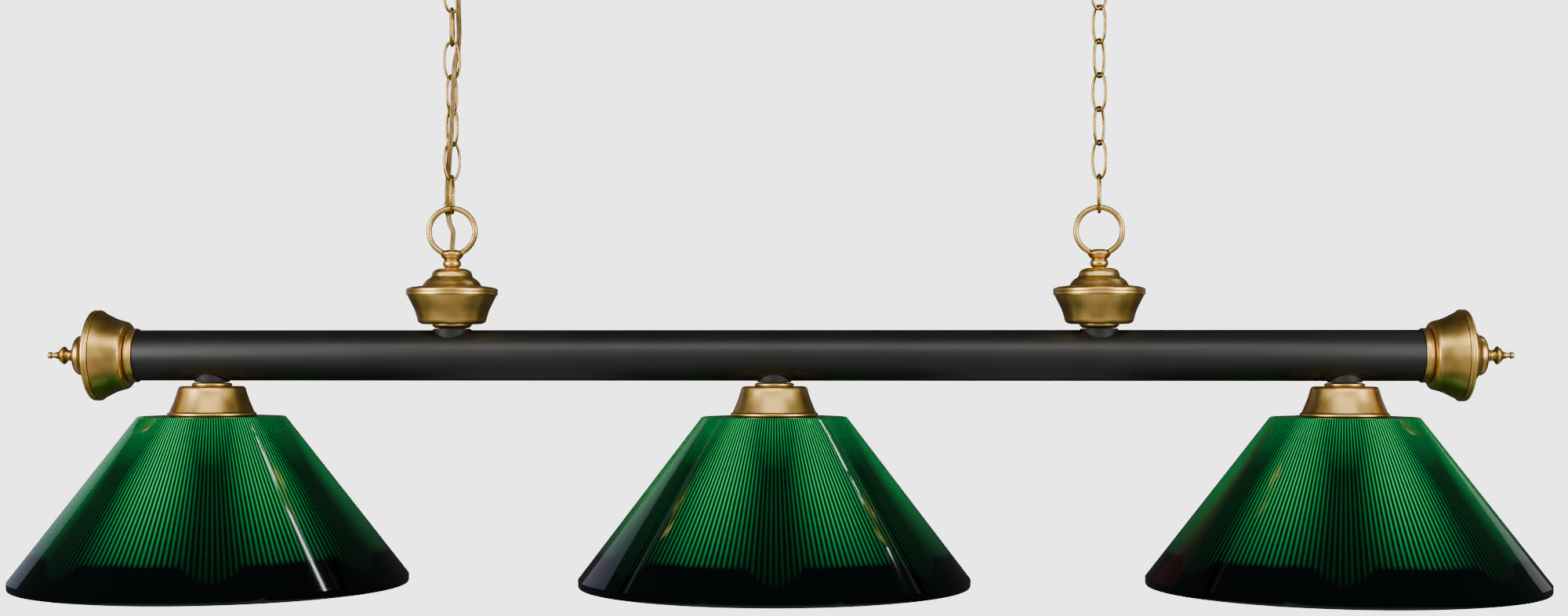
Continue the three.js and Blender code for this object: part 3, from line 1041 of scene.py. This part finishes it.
def grow(piece: bpy.types.Object, tree: bpy.types.NodeTree, values: dict) -> None:
    """Runs a node tree on a piece and bakes it to plain mesh.

    Args:
        piece: the object.
        tree: the geometry node tree.
        values: each of the tree's inputs by name.
    """
    modifier = piece.modifiers.new(tree.name, "NODES")
    modifier.node_group = tree
    for item in tree.interface.items_tree:
        if item.item_type == "SOCKET" and item.in_out == "INPUT" and item.name in values:
            modifier[item.identifier] = values[item.name]
    bake(piece)


def new_tree(name: str,
             inputs: list[tuple[str, str]]) -> tuple[bpy.types.NodeTree, bpy.types.Node, bpy.types.Node]:
    """A geometry node tree with named inputs.

    Args:
        name: the tree's name.
        inputs: each input's name and socket type.

    Returns:
        The tree, its input node and its output node.
    """
    tree = bpy.data.node_groups.new(name, "GeometryNodeTree")
    tree.interface.new_socket("Geometry", in_out="INPUT", socket_type="NodeSocketGeometry")
    for label, kind in inputs:
        tree.interface.new_socket(label, in_out="INPUT", socket_type=kind)
    tree.interface.new_socket("Geometry", in_out="OUTPUT", socket_type="NodeSocketGeometry")
    return tree, tree.nodes.new("NodeGroupInput"), tree.nodes.new("NodeGroupOutput")


def rib_tree(finish: bpy.types.Material) -> bpy.types.NodeTree:
    """The tree that lays straight ribs down the inside of a cone.

    One rib is a five-sided bar from Start to End; copies stand round the vertical axis through
    the point Axis.

    Args:
        finish: the ribs' material.

    Returns:
        The tree.
    """
    tree, inlet, outlet = new_tree("cone_ribs", [
        ("Count", "NodeSocketInt"), ("Start", "NodeSocketVector"), ("End", "NodeSocketVector"),
        ("Axis", "NodeSocketVector"), ("Width", "NodeSocketFloat"), ("Height", "NodeSocketFloat")])
    value = inlet.outputs
    from_axis = [add(tree, "ShaderNodeVectorMath", {0: value[k], 1: value["Axis"]}, operation="SUBTRACT")
                 for k in ("Start", "End")]
    line = add(tree, "GeometryNodeCurvePrimitiveLine",
               {"Start": from_axis[0], "End": from_axis[1]})
    section = add(tree, "GeometryNodeCurvePrimitiveCircle",
                  {"Resolution": 5, "Radius": 1.0})
    half = add(tree, "ShaderNodeMath", {0: value["Width"], 1: 0.5}, operation="MULTIPLY")
    scale = add(tree, "ShaderNodeCombineXYZ", {0: value["Height"], 1: half, 2: 1.0})
    shaped = add(tree, "GeometryNodeTransform", {"Geometry": section, "Scale": scale})
    bar = add(tree, "GeometryNodeCurveToMesh",
              {"Curve": line, "Profile Curve": shaped, "Fill Caps": True})
    points = add(tree, "GeometryNodeMeshLine",
                 {"Count": value["Count"], "Start Location": value["Axis"], "Offset": (0.0, 0.0, 0.0)})
    index = add(tree, "GeometryNodeInputIndex")
    step = add(tree, "ShaderNodeMath", {0: 2 * math.pi, 1: value["Count"]}, operation="DIVIDE")
    turn = add(tree, "ShaderNodeMath", {0: index, 1: step}, operation="MULTIPLY")
    spin = add(tree, "ShaderNodeCombineXYZ", {2: turn})
    copies = add(tree, "GeometryNodeInstanceOnPoints",
                 {"Points": points, "Instance": bar, "Rotation": spin})
    real = add(tree, "GeometryNodeRealizeInstances", {0: copies})
    both = add(tree, "GeometryNodeJoinGeometry")
    tree.links.new(real.outputs[0], both.inputs[0])
    tree.links.new(value["Geometry"], both.inputs[0])
    coat = add(tree, "GeometryNodeSetMaterial", {"Geometry": both, "Material": finish})
    tree.links.new(coat.outputs[0], outlet.inputs[0])
    return tree


@dataclass
class Lampholder:
    """A lampholder under the tube: saddle, cup, socket, clamping ring, bulb and shade."""

    place_name: str
    shade_turn: float
    finishes: Finishes
    ribs: bpy.types.NodeTree
    saddle_radius: float = 16.3
    saddle_top: float = 25.5

    def build(self) -> None:
        """Builds everything of one lampholder."""
        word = self.place_name
        at = place(centre_of(f"{word}_holder_cup").x)
        flipped = at @ Matrix.Rotation(math.pi, 4, "X")
        build_saddle(f"{word}_spacer", f"{word}_holder_saddle", self.saddle_radius, self.saddle_top,
                     flipped, self.finishes)
        cup = [
            (PIPE_HOLE, -30.7, 0), (28.2, -30.8, 2.5), (32.2, -41.6, 14), (37.4, -53.2, 2),
            (38.6, -57.2, 0.3), (40.3, -57.2, 0.7), (41.35, -56.4, 0.9), (41.35, -54.4, 0.9),
            (39.3, -53.3, 0.4), (33.8, -40.2, 14), (30.8, -29.0, 2.8), (24, -28.9, 1.0),
            (18.0, -28.8, 0.3), (18.85, -28.2, 0.4), (18.85, -26.7, 0.5), (17.0, -25.8, 0.5),
            (PIPE_HOLE, -25.8, 0)]
        brass_turning(f"{word}_cup", f"{word}_holder_cup", cup, at, self.finishes)
        self.build_inside(word, at)
        Shade(word, self.shade_turn, self.finishes, self.ribs).build()

    def build_inside(self, word: str, at: Matrix) -> None:
        """Builds the socket, the ring that clamps the shade, and the bulb.

        Args:
            word: the lampholder's place, as it stands in node names.
            at: from millimetres to the frame.
        """
        threads = []
        for k in range(7):
            height = -64.0 - 3.0 * k
            threads += [(18.7, height, 0.2), (18.3, height - 1.5, 0.2)]
        socket = turned(f"{word}_lampholder", [
            (3.5, -47, 0), (14.2, -49, 0.6), (14.2, -86, 0.3), (17.4, -86, 0.8), (18.5, -84.8, 0.5),
            *reversed(threads), (18.7, -39, 1.5), (14, -36, 1.0), (4.9, -35, 0.3), (4.9, -12, 0.2),
            (3.5, -12, 0)], at, 96)
        dress(socket, "lamp_bar", "phenolic", self.finishes.phenolic, f"{word}_socket")
        ring = turned(f"{word}_clamp_ring", [
            (19.1, -65.6, 0.3), (25.4, -65.6, 0.8), (27.0, -64.4, 0.6), (27.0, -61.4, 0.4),
            (19.1, -61.4, 0.3)], at, 96)
        dress(ring, "lamp_bar", "phenolic", self.finishes.phenolic, f"{word}_shade_ring")
        globe = turned(f"{word}_lamp", [
            (0, -161.3, 0), (12.0, -161.3, 10), (26.5, -152.5, 11), (30.1, -134, 10), (29.2, -119.5, 10),
            (18.6, -97.0, 12), (13.6, -87.4, 3), (13.0, -84.0, 0.8), (13.0, -56, 1.0), (9.0, -52.6, 1.0),
            (4.6, -51.2, 0.6), (0, -51.2, 0)], at, 72)
        dress(globe, "lamp_bar", "bulb_glass", self.finishes.opal, f"{word}_bulb")


# ---------- chains ----------


def link_tree(finish: bpy.types.Material) -> bpy.types.NodeTree:
    """The tree that puts an oval wire link on each point, turned by the point's own "twist".

    A link is an arc bent to a blunt oval, which leaves the small split where its ends meet.

    Args:
        finish: the links' material.

    Returns:
        The tree.
    """
    tree, inlet, outlet = new_tree("oval_links", [
        ("Half Width", "NodeSocketFloat"), ("Half Height", "NodeSocketFloat"),
        ("Wire Radius", "NodeSocketFloat"), ("Bluntness", "NodeSocketFloat"),
        ("Split Angle", "NodeSocketFloat")])
    value = inlet.outputs
    open_half = add(tree, "ShaderNodeMath", {0: value["Split Angle"], 1: 0.5}, operation="MULTIPLY")
    sweep = add(tree, "ShaderNodeMath", {0: 2 * math.pi, 1: value["Split Angle"]}, operation="SUBTRACT")
    arc = add(tree, "GeometryNodeCurveArc",
              {"Resolution": 64, "Radius": 1.0, "Start Angle": open_half,
               "Sweep Angle": sweep}, mode="RADIUS")
    spot = add(tree, "GeometryNodeInputPosition")
    split = add(tree, "ShaderNodeSeparateXYZ", {0: spot})
    power = add(tree, "ShaderNodeMath", {0: 2.0, 1: value["Bluntness"]}, operation="DIVIDE")
    sides = []
    for number, half in ((0, value["Half Width"]), (1, value["Half Height"])):
        size = add(tree, "ShaderNodeMath", {0: split.outputs[number]}, operation="ABSOLUTE")
        bent = add(tree, "ShaderNodeMath", {0: size, 1: power}, operation="POWER")
        sign = add(tree, "ShaderNodeMath", {0: split.outputs[number]}, operation="SIGN")
        signed = add(tree, "ShaderNodeMath", {0: bent, 1: sign}, operation="MULTIPLY")
        sides.append(add(tree, "ShaderNodeMath", {0: signed, 1: half}, operation="MULTIPLY"))
    oval = add(tree, "ShaderNodeCombineXYZ", {0: sides[0], 2: sides[1]})
    bent_arc = add(tree, "GeometryNodeSetPosition",
                   {"Geometry": arc, "Position": oval})
    section = add(tree, "GeometryNodeCurvePrimitiveCircle",
                  {"Resolution": 16, "Radius": value["Wire Radius"]})
    wire = add(tree, "GeometryNodeCurveToMesh",
               {"Curve": bent_arc, "Profile Curve": section, "Fill Caps": True})
    twist = add(tree, "GeometryNodeInputNamedAttribute", {"Name": "twist"}, data_type="FLOAT")
    spin = add(tree, "ShaderNodeCombineXYZ", {2: twist})
    copies = add(tree, "GeometryNodeInstanceOnPoints",
                 {"Points": value["Geometry"], "Instance": wire, "Rotation": spin})
    real = add(tree, "GeometryNodeRealizeInstances", {0: copies})
    coat = add(tree, "GeometryNodeSetMaterial", {"Geometry": real, "Material": finish})
    tree.links.new(coat.outputs[0], outlet.inputs[0])
    return tree


@dataclass
class Chain:
    """One chain of seven oval links, in three runs that move on their own."""

    side: Side
    twists: tuple[float, ...]
    finishes: Finishes
    tree: bpy.types.NodeTree
    half_width: float = 7.3
    half_height: float = 17.55
    wire: float = 1.5
    bluntness: float = 2.3
    split: float = 0.25

    def build(self) -> None:
        """Builds the bottom link, the taut middle run and the top link."""
        word = self.side.word
        last = len(self.twists)
        self.run(f"{word}_bottom_link", f"{word}_bottom_link", range(1, 2))
        self.run(f"{word}_chain_run", f"{word}_chain", range(2, last))
        self.run(f"{word}_top_link", f"{word}_top_link", range(last, last + 1))

    def run(self, name: str, body: str, numbers: range) -> None:
        """Builds some links as one piece.

        Args:
            name: the piece's name.
            body: the body that they move with.
            numbers: the links' numbers, from the lamp upwards.
        """
        nodes = tuple(f"{self.side.word}_link_{n}" for n in numbers)
        mesh = bmesh.new()
        twist = mesh.verts.layers.float.new("twist")
        for number, node in zip(numbers, nodes):
            mesh.verts.new(centre_of(node))[twist] = math.radians(self.twists[number - 1])
        piece = new_piece(name, mesh)
        grow(piece, self.tree, {
            "Half Width": self.half_width * MM, "Half Height": self.half_height * MM,
            "Wire Radius": self.wire * MM, "Bluntness": self.bluntness,
            "Split Angle": self.split / self.half_height})
        smooth(piece.data, 50)
        dress(piece, body, "chain_brass", self.finishes.chain, *nodes)


# ---------- ceiling fittings ----------


@dataclass
class CeilingFitting:
    """The canopy, crossbar and loop that hold one chain."""

    side: Side
    finishes: Finishes
    pipe_foot: float = 405.0
    radius: float = 65.0
    screw_reach: float = 42.0
    screw_hole: float = 2.2
    strap_edge: float = 0.4
    drill_reach: float = 6.0

    def build(self) -> None:
        """Builds the fitting, from its loop up to the ceiling."""
        word = self.side.word
        body = "ceiling_fittings"
        low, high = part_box(f"{word}_ceiling_loop")
        at = place((low.x + high.x) / 2)
        bottom, top, ceiling = above_axis(low.z), above_axis(high.z), above_axis(0.0)
        middle = EYE_HEIGHT + bottom + EYE_RADIUS + EYE_WIRE
        turn = Matrix.Translation((0, 0, middle)) @ Matrix.Rotation(math.pi, 4, "X")
        hanging = at @ turn @ Matrix.Rotation(math.pi / 2, 4, "Z")
        loop = LoopedStem(f"{word}_ceiling_eye", hanging).build()
        dress(loop, body, "antique_brass", self.finishes.brass, f"{word}_ceiling_loop")
        pipe = threaded_pipe(f"{word}_ceiling_pipe", self.pipe_foot, top, at)
        dress(pipe, body, "antique_brass", self.finishes.zinc, f"{word}_ceiling_loop")
        seat = middle - STEM_FOOT + GAP
        dish = [
            (PIPE_HOLE, seat, 0), (14, seat, 0.8), (16, seat + 1.0, 1.0), (32, seat + 2.4, 10),
            (50, seat + 9, 12), (61, seat + 18.5, 5), (63.2, seat + 20.4, 0.8),
            (self.radius, ceiling - 4, 1.2), (self.radius, ceiling, 0.2), (63.4, ceiling, 0.2),
            (63.2, ceiling - 3.4, 0.8), (59.6, seat + 19.4, 5), (49, seat + 10.8, 12),
            (31.6, seat + 4.2, 8), (PIPE_HOLE, seat + 1.8, 0)]
        brass_turning(f"{word}_canopy_dish", f"{word}_canopy", dish, at, self.finishes, body=body)
        self.build_crossbar(word, body)

    def build_crossbar(self, word: str, body: str) -> None:
        """Builds the pressed strap inside the canopy, its edges eased and its holes drilled.

        Args:
            word: the side, as it stands in node names.
            body: the body that it moves with.
        """
        node = f"{word}_crossbar"
        low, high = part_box(node)
        mesh = bmesh.new()
        size = Matrix.Diagonal((*(high - low), 1))
        bmesh.ops.create_cube(mesh, size=1, matrix=Matrix.Translation((low + high) / 2) @ size)
        bmesh.ops.bevel(mesh, geom=mesh.edges[:], offset=self.strap_edge * MM, segments=2, affect="EDGES")
        strap = new_piece(f"{word}_strap", mesh)
        middle = (low + high) / 2
        reach, hole, deep = self.screw_reach, self.screw_hole, self.drill_reach
        for offset, radius in ((0.0, PIPE_HOLE), (-reach, hole), (reach, hole)):
            at = Matrix.Translation((middle.x + offset * MM, 0, middle.z)) @ Matrix.Scale(MM, 4)
            cut(strap, standing_rod(f"{word}_drill", radius, -deep, deep, at))
        dress(strap, body, "zinc_steel", self.finishes.zinc, node)


# ---------- supply cord ----------


@dataclass(frozen=True)
class Run:
    """A length of the supply cord: it rides on one body, or is left in place where it spans two bodies and a
    pivot.

    Heights and the bend's reach are in millimetres from the tube's axis.
    """

    name: str
    top: float
    bottom: float
    bodies: tuple[str, ...]
    pivot: float = 0.0
    reach: float = 9.0


@dataclass
class SupplyCord:
    """Flat two-core cord and its ground wire, woven through the left chain."""

    finishes: Finishes
    width: float = 5.2
    thickness: float = 2.7
    steps: int = 6
    core_arc: float = 115.0
    core_steps: int = 8
    uv_step: float = 2.2
    runs: tuple[Run, ...] = (
        Run("cord_at_ceiling", 402.0, 344.0, ("ceiling_fittings", "left_top_link"), 359.7, 10.0),
        Run("cord_top_bend", 344.0, 311.0, ("left_top_link", "left_chain"), 328.0),
        Run("cord_main_run", 311.0, 186.0, ("left_chain",)),
        Run("cord_low_bend", 186.0, 151.0, ("left_chain", "left_bottom_link"), 169.5),
        Run("cord_at_lamp", 151.0, 93.4, ("left_bottom_link", "lamp_bar"), 138.9))
    route: tuple[Spot, ...] = (
        (0, 0, 402), (0, 0, 392), (2.4, -1.6, 380), (6.2, -4.2, 368), (7.6, -5.8, 357),
        (7.0, -5.6, 345), (6.6, -4.2, 332), (6.5, -1.2, 320), (6.3, 2.0, 309), (5.6, 4.2, 299),
        (4.6, 4.3, 289), (3.1, 0.6, 279), (2.7, -3.7, 268), (2.2, -5.4, 258), (1.8, -5.7, 247),
        (1.6, -6.2, 236), (1.1, -5.8, 227), (0.6, -5.6, 215), (0, -5.2, 205), (-0.8, -5.0, 197),
        (-1.8, -3.6, 190), (-2.8, -0.4, 183), (-3.8, 3.0, 175), (-4.9, 4.0, 167), (-5.2, 4.0, 157),
        (-5.2, 4.4, 148), (-5.0, 5.8, 140), (-4.3, 4.6, 132), (-2.4, 1.8, 124.5), (0.7, 0.2, 117.5),
        (0.8, 0, 111.5), (0.2, 0, 105), (0, 0, 99), (0, 0, 93.4))
    ground_radius: float = 0.5
    ground: tuple[Spot, ...] = (
        (-5.2, 6.7, 151), (-6.5, 6.8, 148), (-8.6, 6.7, 144), (-9.0, 6.8, 140.5), (-8.5, 6.9, 136.5),
        (-7.3, 6.9, 133.6), (-5.6, 6.9, 132.0), (-3.4, 6.6, 131.6), (-2.0, 5.6, 129.5), (-0.9, 4.4, 125),
        (0.6, 2.6, 117.5), (0.8, 2.4, 111.5), (0.2, 2.3, 105), (0, 2.3, 98))

    def points(self, route: tuple[Spot, ...]) -> list[Vector]:
        """A route as a smooth line of closely spaced points.

        Args:
            route: its corners, in millimetres from the tube's axis.

        Returns:
            The points, in metres.
        """
        at = place(centre_of("left_hanger_bell").x)
        spots = [at @ Vector(p) for p in route]
        padded = [spots[0], *spots, spots[-1]]
        line = []
        for a, b, c, d in zip(padded, padded[1:], padded[2:], padded[3:]):
            for k in range(self.steps):
                t = k / self.steps
                line.append(0.5 * (2 * b + (c - a) * t + (2 * a - 5 * b + 4 * c - d) * t * t
                                   + (3 * b - a - 3 * c + d) * t ** 3))
        line.append(spots[-1])
        return line

    def section(self) -> list[tuple[float, float]]:
        """Two round cores side by side with a web between them, in millimetres."""
        core = self.thickness / 2
        offset = self.width / 2 - core
        outline = []
        for side in (1, -1):
            for k in range(self.core_steps + 1):
                angle = math.radians(-self.core_arc + 2 * self.core_arc * k / self.core_steps)
                outline.append((side * (offset + core * math.cos(angle)), side * core * math.sin(angle)))
        return outline

    def sweep(self, name: str, line: list[Vector], section: list[tuple[float, float]]) -> bpy.types.Object:
        """Sweeps a section along a line, its width kept across the viewer's way.

        Args:
            name: the piece's name.
            line: the points it follows, in metres.
            section: the outline, in millimetres.

        Returns:
            The swept length.
        """
        mesh = bmesh.new()
        uv = mesh.loops.layers.uv.new("run")
        rings, run = [], [0.0]
        for i, spot in enumerate(line):
            ahead = line[min(i + 1, len(line) - 1)] - line[max(i - 1, 0)]
            ahead.normalize()
            deep = Vector((0, 1, 0))
            deep = (deep - ahead * deep.dot(ahead)).normalized()
            wide = deep.cross(ahead).normalized()
            rings.append([mesh.verts.new(spot + wide * x * MM + deep * y * MM) for x, y in section])
            if i:
                run.append(run[-1] + (spot - line[i - 1]).length)
        count = len(section)
        for i in range(len(rings) - 1):
            for k in range(count):
                after = (k + 1) % count
                face = mesh.faces.new([rings[i][k], rings[i][after], rings[i + 1][after], rings[i + 1][k]])
                marks = [(k, i), (k + 1, i), (k + 1, i + 1), (k, i + 1)]
                for loop, (turn, row) in zip(face.loops, marks):
                    loop[uv].uv = (turn / count, run[row] / (self.uv_step * MM))
        mesh.faces.new(rings[0])
        mesh.faces.new(list(reversed(rings[-1])))
        bmesh.ops.recalc_face_normals(mesh, faces=mesh.faces)
        piece = new_piece(name, mesh)
        smooth(piece.data, 60)
        return piece

    def settle(self, piece: bpy.types.Object, run: Run) -> None:
        """Attaches a length of cord to its one body, or leaves it in place across two, and hides the frame's
        cord.

        Args:
            piece: the length's mesh object.
            run: the bodies that it moves with.
        """
        if len(run.bodies) == 2:
            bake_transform(piece)
        else:
            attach(piece, run.bodies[0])
        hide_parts("lamp_cord")

    def build(self) -> None:
        """Builds the cord in runs, each riding on one body or left in place across two, and the ground wire.
        """
        line = self.points(self.route)
        heights = [above_axis(spot.z) for spot in line]
        for run in self.runs:
            first, last = (min(range(len(line)), key=lambda i: abs(heights[i] - end))
                           for end in (run.top, run.bottom))
            part = line[first:last + 1]
            piece = self.sweep(run.name, part, self.section())
            piece.data.materials.append(self.finishes.vinyl)
            self.settle(piece, run)
        self.build_ground(self.runs[-1])

    def build_ground(self, run: Run, sides: int = 12) -> None:
        """Builds the end of the bare ground wire, which leaves the cord in a small curl.

        Args:
            run: the cord's lowest run, whose bodies it shares.
            sides: how many sides the wire has.
        """
        line = self.points(self.ground)
        turns = [2 * math.pi * k / sides for k in range(sides)]
        section = [(self.ground_radius * math.cos(t), self.ground_radius * math.sin(t)) for t in turns]
        wire = self.sweep("ground_wire", line, section)
        wire.data.materials.append(self.finishes.copper)
        self.settle(wire, run)


# ---------- the studio ----------


@dataclass
class Studio:
    """Camera, soft lights, white surroundings and a pale floor far below."""

    finishes: Finishes
    distance: float = 2.03
    yaw: float = 1.8
    lens: float = 49.5
    aside: float = 0.0091
    shift: float = 0.03025
    floor_height: float = -2.5
    floor_half: float = 8.0
    wash_lift: float = 0.8
    wash_size: float = 15.0
    wash_power: float = 1900.0

    @staticmethod
    def new_light(name: str, kind: str, power: float, tint: str = "#ffffff") -> bpy.types.Object:
        """Puts a light in the scene.

        Args:
            name: the light's name.
            kind: AREA or SUN.
            power: in watts, or in watts a square metre for a sun.
            tint: its colour, as a hex code.

        Returns:
            The light, still to be placed and sized.
        """
        data = bpy.data.lights.new(name, kind)
        data.color = linear(tint)[:3]
        data.energy = power
        return new_object(name, data)

    def build_camera(self) -> None:
        """Puts the camera level with the tube, a little to the right of its middle."""
        data = bpy.data.cameras.new("camera")
        data.sensor_width = 36.0
        data.lens = self.lens
        data.shift_y = self.shift
        camera = new_object("camera", data)
        turn = math.radians(self.yaw)
        height = tube_axis()
        camera.location = (self.distance * math.sin(turn), -self.distance * math.cos(turn), height)
        target = Vector((self.aside * math.cos(turn), self.aside * math.sin(turn), height))
        camera.rotation_euler = (target - camera.location).to_track_quat("-Z", "Y").to_euler()
        bpy.context.scene.camera = camera

    def light(self, name: str, spot: tuple[float, float, float], size: tuple[float, float],
              power: float, tint: str = "#ffffff") -> None:
        """Adds a soft rectangular light that looks at the bar.

        Args:
            name: the light's name.
            spot: where it stands, from the bar's middle, in metres.
            size: its width and height, in metres.
            power: in watts.
            tint: its colour, as a hex code.
        """
        lamp = self.new_light(name, "AREA", power, tint)
        lamp.data.shape = "RECTANGLE"
        lamp.data.size, lamp.data.size_y = size
        lamp.visible_camera = False
        middle = Vector((0, 0, tube_axis()))
        lamp.location = middle + Vector(spot)
        lamp.rotation_euler = (middle - lamp.location).to_track_quat("-Z", "Y").to_euler()

    def build_world(self) -> None:
        """White to the eye, and a softer grey for what it lights."""
        world = bpy.data.worlds.new("studio")
        world.use_nodes = True
        tree = world.node_tree
        tree.nodes.clear()
        path = add(tree, "ShaderNodeLightPath")
        white = add(tree, "ShaderNodeBackground", {"Color": (1, 1, 1, 1), "Strength": 3.6})
        grey = add(tree, "ShaderNodeBackground", {"Color": (0.92, 0.96, 1, 1), "Strength": 0.06})
        both = add(tree, "ShaderNodeMixShader",
                   {0: path.outputs["Is Camera Ray"], 1: grey, 2: white})
        add(tree, "ShaderNodeOutputWorld", {0: both})
        bpy.context.scene.world = world

    def build_floor(self) -> None:
        """A pale floor far below, seen but not mirrored, with a wash of light of its own."""
        mesh = bmesh.new()
        low = Matrix.Translation((0, 0, self.floor_height))
        bmesh.ops.create_grid(mesh, x_segments=8, y_segments=8, size=self.floor_half, matrix=low)
        floor = new_piece("floor", mesh)
        floor.data.materials.append(self.finishes.floor)
        floor.visible_diffuse = False
        floor.visible_glossy = False
        wash = self.new_light("floor_wash", "AREA", self.wash_power)
        wash.data.size = self.wash_size
        wash.location = (0, 0, self.floor_height + self.wash_lift)

    def far_light(self, name: str, turn: float, lift: float, spread: float, power: float,
                  mirrored: bool = False, tint: str = "#ffffff") -> None:
        """Adds a distant light, the same for every shade.

        Args:
            name: the light's name.
            turn: its bearing from straight to the right, towards the back, in degrees.
            lift: its height above the horizon, in degrees.
            spread: how wide it looks, in degrees.
            power: in watts a square metre.
            mirrored: whether shiny faces show it.
            tint: its colour, as a hex code.
        """
        lamp = self.new_light(name, "SUN", power, tint)
        lamp.data.angle = math.radians(spread)
        lamp.visible_glossy = mirrored
        turn, lift = math.radians(turn), math.radians(lift)
        way = Vector((math.cos(lift) * math.cos(turn), math.cos(lift) * math.sin(turn), math.sin(lift)))
        lamp.rotation_euler = way.to_track_quat("Z", "Y").to_euler()

    def build(self) -> None:
        """Builds the whole studio."""
        self.build_camera()
        self.build_world()
        self.build_floor()
        self.light("key_high", (0.0, -2.3, 2.0), (3.4, 1.0), 78)
        self.light("front_softbox", (0.0, -3.0, 0.35), (3.2, 1.2), 9)
        self.light("left_softbox", (-2.2, -1.7, 0.5), (1.5, 1.3), 105)
        self.light("right_softbox", (2.2, -1.7, 0.5), (1.5, 1.3), 85)
        self.light("back_left_panel", (-2.2, 2.2, 0.5), (1.6, 1.6), 5, "#c4d2f0")
        self.light("back_right_panel", (2.6, 2.2, 0.2), (0.8, 1.0), 1.2)
        self.light("floor_bounce", (0.0, -0.8, -2.0), (6.0, 6.0), 62)
        self.light("streak_strip", (4.9, 1.7, 6.2), (0.13, 2.6), 40)
        self.far_light("warm_edge", 120.0, 18.0, 24.0, 0.03, True, "#b01830")
        self.far_light("back_fill", 90.0, 6.0, 40.0, 0.8)


def main() -> None:
    """Builds the studio, then the lamp from its cord outwards."""
    logging.basicConfig(level=logging.INFO, format="%(name)s: %(message)s")
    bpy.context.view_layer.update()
    finishes = Finishes()
    ribs, links = rib_tree(finishes.green), link_tree(finishes.chain)
    Studio(finishes).build()
    SupplyCord(finishes).build()
    MainTube(finishes).build()
    twists = {Side.LEFT: (90, 25, -37, 63, 0, 90, 15), Side.RIGHT: (78, -40, 47, -43, 45, -47, 15)}
    for side in Side:
        Hanger(side, finishes).build()
        TubeEnd(side, finishes).build()
        Chain(side, twists[side], finishes, links).build()
        CeilingFitting(side, finishes).build()
    turns = {"left": 16.0, "centre": 2.0, "right": -13.0}
    for spot, turn in turns.items():
        Lampholder(spot, turn, finishes, ribs).build()


if __name__ == "__main__":
    main()
